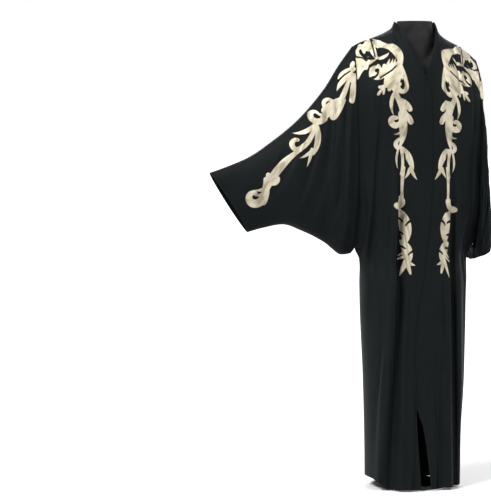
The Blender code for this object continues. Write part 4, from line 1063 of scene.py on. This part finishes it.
SLEEVE_SCROLLS = {
    "right": rows_of(
        Stroke,
        (0.214, 1.35, 205, 0.016, 0, 0, 0.011, 0.015, 0.012),
        (0.214, 1.33, 250, 0.06, -4, -30, 0.014, 0.02, 0.003),
        (0.224, 1.318, 232, 0.074, -6, -26, 0.014, 0.017, 0.003),
        (0.222, 1.312, 203, 0.146, 0, 8, 0.014, 0.023, 0.023),
        (0.218, 1.312, 183, 0.082, 0, 10, 0.014, 0.02, 0.019),
        (0.212, 1.315, 180, 0.026, 0, 0, 0.006, 0.008, 0.003),
        (0.266, 1.234, 232, 0.056, 0, 0, 0.014, 0.024, 0.022),
        (0.298, 1.2, 296, 0.062, 60, 160, 0.014, 0.014, 0.011),
        (0.284, 1.214, 218, 0.05, 0, 10, 0.024, 0.026, 0.018),
        (0.312, 1.174, 226, 0.084, 50, 220, 0.02, 0.02, 0.009),
        (0.318, 1.184, 296, 0.03, 0, -10, 0.013, 0.008, 0.002),
        (0.339, 1.16, 220, 0.084, 20, 40, 0.01, 0.016, 0.002),
        (0.34, 1.159, 196, 0.108, 12, 40, 0.01, 0.017, 0.015),
        (0.395, 1.078, 248, 0.058, 90, 120, 0.015, 0.018, 0.013),
        (0.338, 1.159, 170, 0.096, 12, 30, 0.01, 0.022, 0.012),
        (0.356, 1.076, 232, 0.052, 0, 30, 0.012, 0.011, 0.002),
        (0.357, 1.078, 196, 0.058, 0, 10, 0.014, 0.012, 0.002),
        (0.392, 1.079, 237, 0.174, -12, -22, 0.01, 0.026, 0.022),
        (0.494, 1.0, 196, 0.056, -66, -130, 0.016, 0.022, 0.01),
        (0.47, 1.016, 166, 0.024, 0, -30, 0.012, 0.007, 0.002),
        (0.502, 0.985, 176, 0.068, 6, 22, 0.018, 0.026, 0.028),
        (0.511, 0.926, 206, 0.094, 70, 206, 0.027, 0.026, 0.012),
        (0.512, 0.954, 262, 0.034, 0, 20, 0.014, 0.008, 0.002),
        (0.515, 0.938, 262, 0.028, 0, 20, 0.014, 0.008, 0.002),
    ),
    "left": rows_of(
        Stroke,
        (0.036, 1.335, 190, 0.015, 0, 0, 0.011, 0.015, 0.012),
        (0.046, 1.316, 150, 0.055, 4, 30, 0.013, 0.018, 0.003),
        (0.05, 1.306, 166, 0.068, 6, 24, 0.013, 0.016, 0.003),
        (0.052, 1.304, 190, 0.134, 0, -8, 0.013, 0.021, 0.021),
        (0.058, 1.3, 212, 0.074, 0, -10, 0.013, 0.018, 0.017),
        (0.074, 1.22, 166, 0.054, 0, 0, 0.014, 0.022, 0.02),
        (0.066, 1.176, 102, 0.057, -60, -160, 0.013, 0.013, 0.01),
        (0.072, 1.194, 180, 0.046, 0, -10, 0.022, 0.024, 0.017),
        (0.07, 1.149, 172, 0.077, -50, -220, 0.018, 0.018, 0.008),
        (0.0625, 1.124, 178, 0.076, -20, -40, 0.01, 0.015, 0.002),
        (0.0625, 1.123, 202, 0.098, -12, -40, 0.01, 0.016, 0.014),
        (0.0635, 1.123, 228, 0.088, -12, -30, 0.01, 0.02, 0.011),
        (0.098, 1.051, 166, 0.048, 0, -30, 0.011, 0.01, 0.002),
        (0.098, 1.052, 202, 0.053, 0, -10, 0.013, 0.011, 0.002),
        (0.068, 1.03, 150, 0.053, -90, -120, 0.014, 0.016, 0.012),
        (0.068, 1.034, 161, 0.16, 12, 22, 0.01, 0.024, 0.02),
        (0.042, 0.918, 202, 0.052, 66, 130, 0.015, 0.02, 0.01),
        (0.045, 0.904, 218, 0.06, -6, -22, 0.016, 0.024, 0.025),
        (0.072, 0.853, 192, 0.096, -70, -206, 0.024, 0.021, 0.009),
        (0.054, 0.874, 136, 0.03, 0, -20, 0.013, 0.008, 0.002),
    ),
}
SLEEVE_SLITS = {
    "right": rows_of(
        Stroke,
        (0.226, 1.323, 240, 0.052, -4, -26, 0.002, 0.0028, 0.0034),
        (0.228, 1.286, 196, 0.05, 0, 4, 0.002, 0.0034, 0.008),
    ),
    "left": (),
}
GOLD_CELL = 0.0016
GOLD_LIFT = 0.0003
GOLD_THICKNESS = 0.0010
GOLD_ROUNDING = 0.0028
GOLD_EDGE_SHARE = 0.35
# The outline crosses a cell's side no nearer to its ends than this share
GOLD_CORNER = 0.1
GOLD_CREASE_ANGLE = math.radians(65)
GOLD_NECK_CLEAR = 0.02
# Near the shoulder the scrolls are drawn wider about a middle, a little inward and higher
CROWN_FROM = 1.24
CROWN_TO = 1.44
CROWN_MIDDLE = 0.12
CROWN_WIDER = 0.10
CROWN_INWARD = 0.004
CROWN_HIGHER = 0.022
LEFT_SLEEVE_BACK = 0.025
GOLD_LOWEST_ROW = 24


def stroke_path(stroke):
    """Points and half widths along a stroke, its heading bending as it goes."""
    step = stroke.length / STROKE_STEPS
    heading = math.radians(stroke.heading)
    place = np.array([stroke.across, stroke.up])
    path = []
    for index in range(STROKE_STEPS + 1):
        share = index / STROKE_STEPS
        swell = math.sin(math.pi * share)
        width = stroke.wide_start + (stroke.wide_end - stroke.wide_start) * share
        width += (stroke.wide_middle - (stroke.wide_start + stroke.wide_end) / 2) * swell
        path.append((place[0], place[1], width / 2))
        bend = stroke.bend_start + (stroke.bend_end - stroke.bend_start) * share
        heading += math.radians(bend) * 2 / STROKE_STEPS
        place = place + step * np.array([-math.sin(heading), math.cos(heading)])
    return np.array(path)


def gold_distance(strokes, across, up):
    """How far each place lies outside the strokes' shape, less than 0 inside it."""
    nearest = np.full(across.shape, 1.0)
    for stroke in strokes:
        path = stroke_path(stroke)
        for start, end in zip(path[:-1], path[1:]):
            run = end[:2] - start[:2]
            share = ((across - start[0]) * run[0] + (up - start[1]) * run[1]) / run.dot(run)
            share = np.clip(share, 0.0, 1.0)
            away = np.hypot(across - start[0] - share * run[0], up - start[1] - share * run[1])
            away -= start[2] + (end[2] - start[2]) * share
            nearest = np.minimum(nearest, away)
    return nearest


def gold_shape(scrolls, slits, across, up):
    """How far each place lies outside the scrolls with their slits cut out."""
    return np.maximum(gold_distance(scrolls, across, up), -gold_distance(slits, across, up))


def refine(grid, down, across):
    """A grid with each of its cells cut into down by across smaller ones."""
    for axis, parts in ((0, down), (1, across)):
        places = np.linspace(0, grid.shape[axis] - 1, (grid.shape[axis] - 1) * parts + 1)
        cell = np.minimum(places.astype(int), grid.shape[axis] - 2)
        share = places - cell
        share = share.reshape([-1 if index == axis else 1 for index in range(grid.ndim)])
        grid = np.take(grid, cell, axis) * (1 - share) + np.take(grid, cell + 1, axis) * share
    return grid


def gold_cells(values):
    """The pieces of a grid's cells that lie inside the gold, as rings of named corners."""
    inside = values < 0
    touched = inside[:-1, :-1] | inside[1:, :-1] | inside[:-1, 1:] | inside[1:, 1:]
    cells = []
    for row, place in np.argwhere(touched).tolist():
        corners = ((row, place), (row, place + 1), (row + 1, place + 1), (row + 1, place))
        ring = []
        for here, there in zip(corners, corners[1:] + corners[:1]):
            if inside[here]:
                ring.append((here, here))
            if inside[here] != inside[there]:
                ring.append((min(here, there), max(here, there)))
        cells.append(ring)
    return cells


def largest_piece(cells):
    """The cells of the largest connected piece of gold."""
    owners = {}
    for index, ring in enumerate(cells):
        for corner in ring:
            owners.setdefault(corner, []).append(index)
    waiting = set(range(len(cells)))
    best = []
    while waiting:
        reached = [waiting.pop()]
        for index in reached:
            for corner in cells[index]:
                for other in owners[corner]:
                    if other in waiting:
                        waiting.remove(other)
                        reached.append(other)
        if len(reached) > len(best):
            best = reached
    return [cells[index] for index in sorted(best)]


def lay_gold(name, points, normals, values, places):
    """A padded piece of gold cloth on a panel, rounded down to the cloth at its outline."""
    cells = largest_piece(gold_cells(values))
    bm = bmesh.new()
    flat = bm.loops.layers.uv.new("UVMap")
    depth = bm.verts.layers.float.new("inside")
    under = {}
    over = {}
    laid = {}
    for ring in cells:
        for corner in ring:
            if corner in under:
                continue
            first, second = corner
            if first == second:
                share = 0.0
            else:
                share = values[first] / (values[first] - values[second])
            share = min(max(share, GOLD_CORNER), 1 - GOLD_CORNER)
            place = points[first] * (1 - share) + points[second] * share
            normal = unit(normals[first] * (1 - share) + normals[second] * share)
            within = max(0.0, -(values[first] * (1 - share) + values[second] * share))
            rounded = math.sqrt(1 - (1 - min(within / GOLD_ROUNDING, 1.0)) ** 2)
            height = GOLD_THICKNESS * (GOLD_EDGE_SHARE + (1 - GOLD_EDGE_SHARE) * rounded)
            under[corner] = bm.verts.new(place + normal * GOLD_LIFT)
            over[corner] = bm.verts.new(place + normal * (GOLD_LIFT + height))
            under[corner][depth] = 0.0
            over[corner][depth] = within
            laid[over[corner]] = laid[under[corner]] = places[first] * (1 - share) + places[second] * share
    sides = {}
    for ring in cells:
        bm.faces.new([over[corner] for corner in ring])
        bm.faces.new([under[corner] for corner in reversed(ring)])
        for here, there in zip(ring, ring[1:] + ring[:1]):
            if (there, here) in sides:
                del sides[(there, here)]
            else:
                sides[(here, there)] = True
    for here, there in sides:
        bm.faces.new((over[here], under[here], under[there], over[there]))
    bmesh.ops.recalc_face_normals(bm, faces=bm.faces)
    for face in bm.faces:
        for corner in face.loops:
            corner[flat].uv = laid[corner.vert]
    mesh = bpy.data.meshes.new(name)
    bm.to_mesh(mesh)
    bm.free()
    piece = bpy.data.objects.new(name, mesh)
    bpy.context.collection.objects.link(piece)
    mesh.shade_smooth()
    mesh.set_sharp_from_angle(angle=GOLD_CREASE_ANGLE)
    return piece


def gold_parts(points, cell):
    """How many parts each cell of a grid is cut into, down and across."""
    return [max(1, round(cell_lengths(points, axis).mean() / cell)) for axis in (0, 1)]


GOLD_COLOR = (0.610, 0.548, 0.405, 1.0)
# Deeper and paler gold laid in random patches: painted shade and painted sheen on the satin
GOLD_PAINTED_SHEEN_COLOR = (0.720, 0.662, 0.520, 1.0)
GOLD_PAINTED_SHADE_COLOR = (0.330, 0.285, 0.200, 1.0)
GOLD_THREAD_COLOR = (0.030, 0.024, 0.018, 1.0)
GOLD_ROUGHNESS = 0.42
GOLD_FINISH = (("Metallic", 0.30), ("Sheen Weight", 0.25), ("Sheen Roughness", 0.35))
GOLD_RIM_FROM = 0.00072
GOLD_RIM_TO = 0.00156
GOLD_RIM_STITCH = {"scale": WAVE_PERIOD / 0.0011, "bands_direction": "DIAGONAL", "distortion": 3.0}
GOLD_RIM_HEIGHT = 0.00008
GOLD_TWILL = {"scale": WAVE_PERIOD / 0.0005, "bands_direction": "DIAGONAL", "distortion": 0.5}
GOLD_TWILL_HEIGHT = 0.00005
GOLD_CLOUD = {"scale": 26.0, "detail": 3.0, "roughness": 0.5}
GOLD_CLOUD_HEIGHT = 0.0006
GOLD_PAINTED_SHADE_AND_SHEEN_STOPS = ((0.36, GOLD_PAINTED_SHADE_COLOR), (0.50, GOLD_COLOR), (0.66, GOLD_PAINTED_SHEEN_COLOR))

gold, gold_shader = start_material("champagne_satin", GOLD_COLOR, GOLD_ROUGHNESS, GOLD_FINISH)
gold_place = add_node(gold, "UVMap").outputs["UV"]
gold_cloud = add_pattern(gold, gold_place, "TexNoise", **GOLD_CLOUD)
gold_twill = add_pattern(gold, gold_place, "TexWave", **GOLD_TWILL)
gold_rim_stitch = add_pattern(gold, gold_place, "TexWave", **GOLD_RIM_STITCH)
# The cloud paints random patches of shade and sheen into the satin's colour
gold_with_painted_shade_and_sheen = add_ramp(gold, gold_cloud, GOLD_PAINTED_SHADE_AND_SHEEN_STOPS)
gold_inside = add_node(gold, "Attribute", attribute_name="inside")
gold_rim = add_range(gold, gold_inside, "Fac", GOLD_RIM_FROM, GOLD_RIM_TO)
feed(gold, add_mix(gold, gold_rim, GOLD_THREAD_COLOR, gold_with_painted_shade_and_sheen), gold_shader, "Base Color")
add_bump(gold, gold_shader, (
    (gold_twill, "Fac", GOLD_TWILL_HEIGHT),
    (gold_cloud, "Fac", GOLD_CLOUD_HEIGHT),
    (gold_rim_stitch, "Fac", GOLD_RIM_HEIGHT),
))

for side in ("right", "left"):
    rows = slice(0, ARMHOLE_ROWS + GOLD_LOWEST_ROW)
    points = fronts[side]
    down, across = gold_parts(points[rows], GOLD_CELL)
    toward = np.array((0.0, -1.0, 0.0))
    fine = refine(points[rows], down, across)
    fine_normals = unit(refine(grid_normals(points, toward)[rows], down, across))
    lengths = flat_places(points)
    heights = UNDERARM + (lengths[..., 1] - lengths[ARMHOLE_ROWS, :, 1][None, :])
    away = np.abs(fine[..., 0])
    lowered = read(SHOULDER, "across", "right", away) - read(SHOULDER, "across", side, away)
    up = refine(heights[rows][..., None], down, across)[..., 0] + lowered
    grown = ease(CROWN_FROM, CROWN_TO, up)
    pattern_across = CROWN_MIDDLE + (away - CROWN_MIDDLE) / (1 + CROWN_WIDER * grown) + CROWN_INWARD * grown
    values = gold_shape(FRONT_SCROLLS, FRONT_SLITS, pattern_across, up - CROWN_HIGHER * grown)
    from_neck = np.abs(fine[..., 0] - v_edge_x(side, fine[..., 2]))
    values[(from_neck < GOLD_NECK_CLEAR) & (fine[..., 2] > NECK_CROSSING)] = 1.0
    values[:, -1] = 1.0
    values[:down] = 1.0
    places = refine(lengths[rows], down, across)
    scrolls = lay_gold("scrolls_front_" + side, fine, fine_normals, values, places)
    finish_piece(scrolls, gold, "gold_front_" + side)

for side in ("right", "left"):
    shown = ARMHOLE_ROWS if side == "right" else ARMHOLE_ROWS // 2
    points = sleeves[side][:, :shown + 1]
    down, across = gold_parts(points, GOLD_CELL)
    normals = grid_normals(points, np.array((0.0, -1.0, 0.0) if side == "right" else (1.0, 0.0, 0.0)))
    fine = refine(points, down, across)
    pattern_across = -fine[..., 0] if side == "right" else LEFT_SLEEVE_BACK - fine[..., 1]
    values = gold_shape(SLEEVE_SCROLLS[side], SLEEVE_SLITS[side], pattern_across, fine[..., 2])
    values[0] = 1.0
    values[:, 0] = 1.0
    values[:, -1] = 1.0
    fine_normals = unit(refine(normals, down, across))
    places = refine(flat_places(points), down, across)
    scrolls = lay_gold("scrolls_sleeve_" + side, fine, fine_normals, values, places)
    finish_piece(scrolls, gold, "gold_sleeve_" + side)


# The room: a wide white floor under an even white light, with two soft suns from the
# front and one from behind, and the camera a long way off, where the photograph's was.
FLOOR_SIZE = 120.0
FLOOR_COLOR = (0.90, 0.90, 0.90, 1.0)
FLOOR_ROUGHNESS = 0.9
FLOOR_LIGHT_COLOR = (0.60, 0.60, 0.60, 1.0)
WORLD_COLOR = (1.0, 1.0, 1.0, 1.0)
WORLD_SEEN = 1.0
WORLD_LIGHT = 0.30
Lamp = namedtuple("Lamp", "name azimuth elevation spread power")
LAMPS = rows_of(
    Lamp,
    ("key", -60.0, 48.0, 18.0, 3.00),
    ("fill", 42.0, 44.0, 35.0, 1.25),
    ("back", 158.0, 38.0, 40.0, 1.90),
)
LAMP_DISTANCE = 4
IMAGE_SIDE = 500
SENSOR = 36.0
FOCAL_PIXELS = 2187.0
CAMERA_AZIMUTH = -20.0
CAMERA_DISTANCE = 7.0
CAMERA_HEIGHT = 1.174
CAMERA_YAW = 4.39
CAMERA_PITCH = 3.43


def show_and_light(owner, light, seen, output):
    """Let the camera see one shader, and let another one light the pieces."""
    ray = add_node(owner, "LightPath")
    mix = add_node(owner, "MixShader")
    join(owner, ray, "Is Camera Ray", mix, 0)
    join(owner, light, 0, mix, 1)
    join(owner, seen, 0, mix, 2)
    join(owner, mix, 0, owner.node_tree.nodes[output], "Surface")


bpy.ops.object.select_all(action="DESELECT")
bpy.ops.mesh.primitive_plane_add(size=FLOOR_SIZE)
floor = bpy.context.object
floor.name = "studio_floor"
floor_paint, floor_shader = start_material("pale_floor", FLOOR_COLOR, FLOOR_ROUGHNESS)
floor_dim = add_node(floor_paint, "BsdfDiffuse", color=FLOOR_LIGHT_COLOR)
show_and_light(floor_paint, floor_dim, floor_shader, "Material Output")
floor.data.materials.append(floor_paint)

world = bpy.data.worlds.new("studio")
bpy.context.scene.world = world
world.use_nodes = True
world_light = world.node_tree.nodes["Background"]
world_light.inputs["Strength"].default_value = WORLD_LIGHT
world_light.inputs["Color"].default_value = WORLD_COLOR
world_seen = add_node(world, "Background", color=WORLD_COLOR, strength=WORLD_SEEN)
show_and_light(world, world_light, world_seen, "World Output")

for lamp in LAMPS:
    turn = math.radians(lamp.azimuth)
    climb = math.radians(lamp.elevation)
    toward = Vector((math.sin(turn) * math.cos(climb), -math.cos(turn) * math.cos(climb), math.sin(climb)))
    bpy.ops.object.light_add(type="SUN", location=toward * LAMP_DISTANCE)
    light = bpy.context.object
    light.name = "light_" + lamp.name
    light.data.energy = lamp.power
    light.data.angle = math.radians(lamp.spread)
    light.rotation_euler = toward.to_track_quat("Z", "Y").to_euler()

turn = math.radians(CAMERA_AZIMUTH)
heading = turn + math.radians(CAMERA_YAW)
pitch = math.radians(CAMERA_PITCH)
place = Vector((CAMERA_DISTANCE * math.sin(turn), -CAMERA_DISTANCE * math.cos(turn), CAMERA_HEIGHT))
ahead = Vector((-math.sin(heading) * math.cos(pitch), math.cos(heading) * math.cos(pitch), -math.sin(pitch)))
bpy.ops.object.camera_add(location=place)
camera = bpy.context.object
camera.name = "photo_camera"
camera.data.sensor_fit = "AUTO"
camera.data.sensor_width = SENSOR
camera.data.lens = SENSOR * FOCAL_PIXELS / IMAGE_SIDE
camera.rotation_euler = ahead.to_track_quat("-Z", "Y").to_euler()
bpy.context.scene.camera = camera
bpy.context.scene.view_settings.view_transform = "Standard"
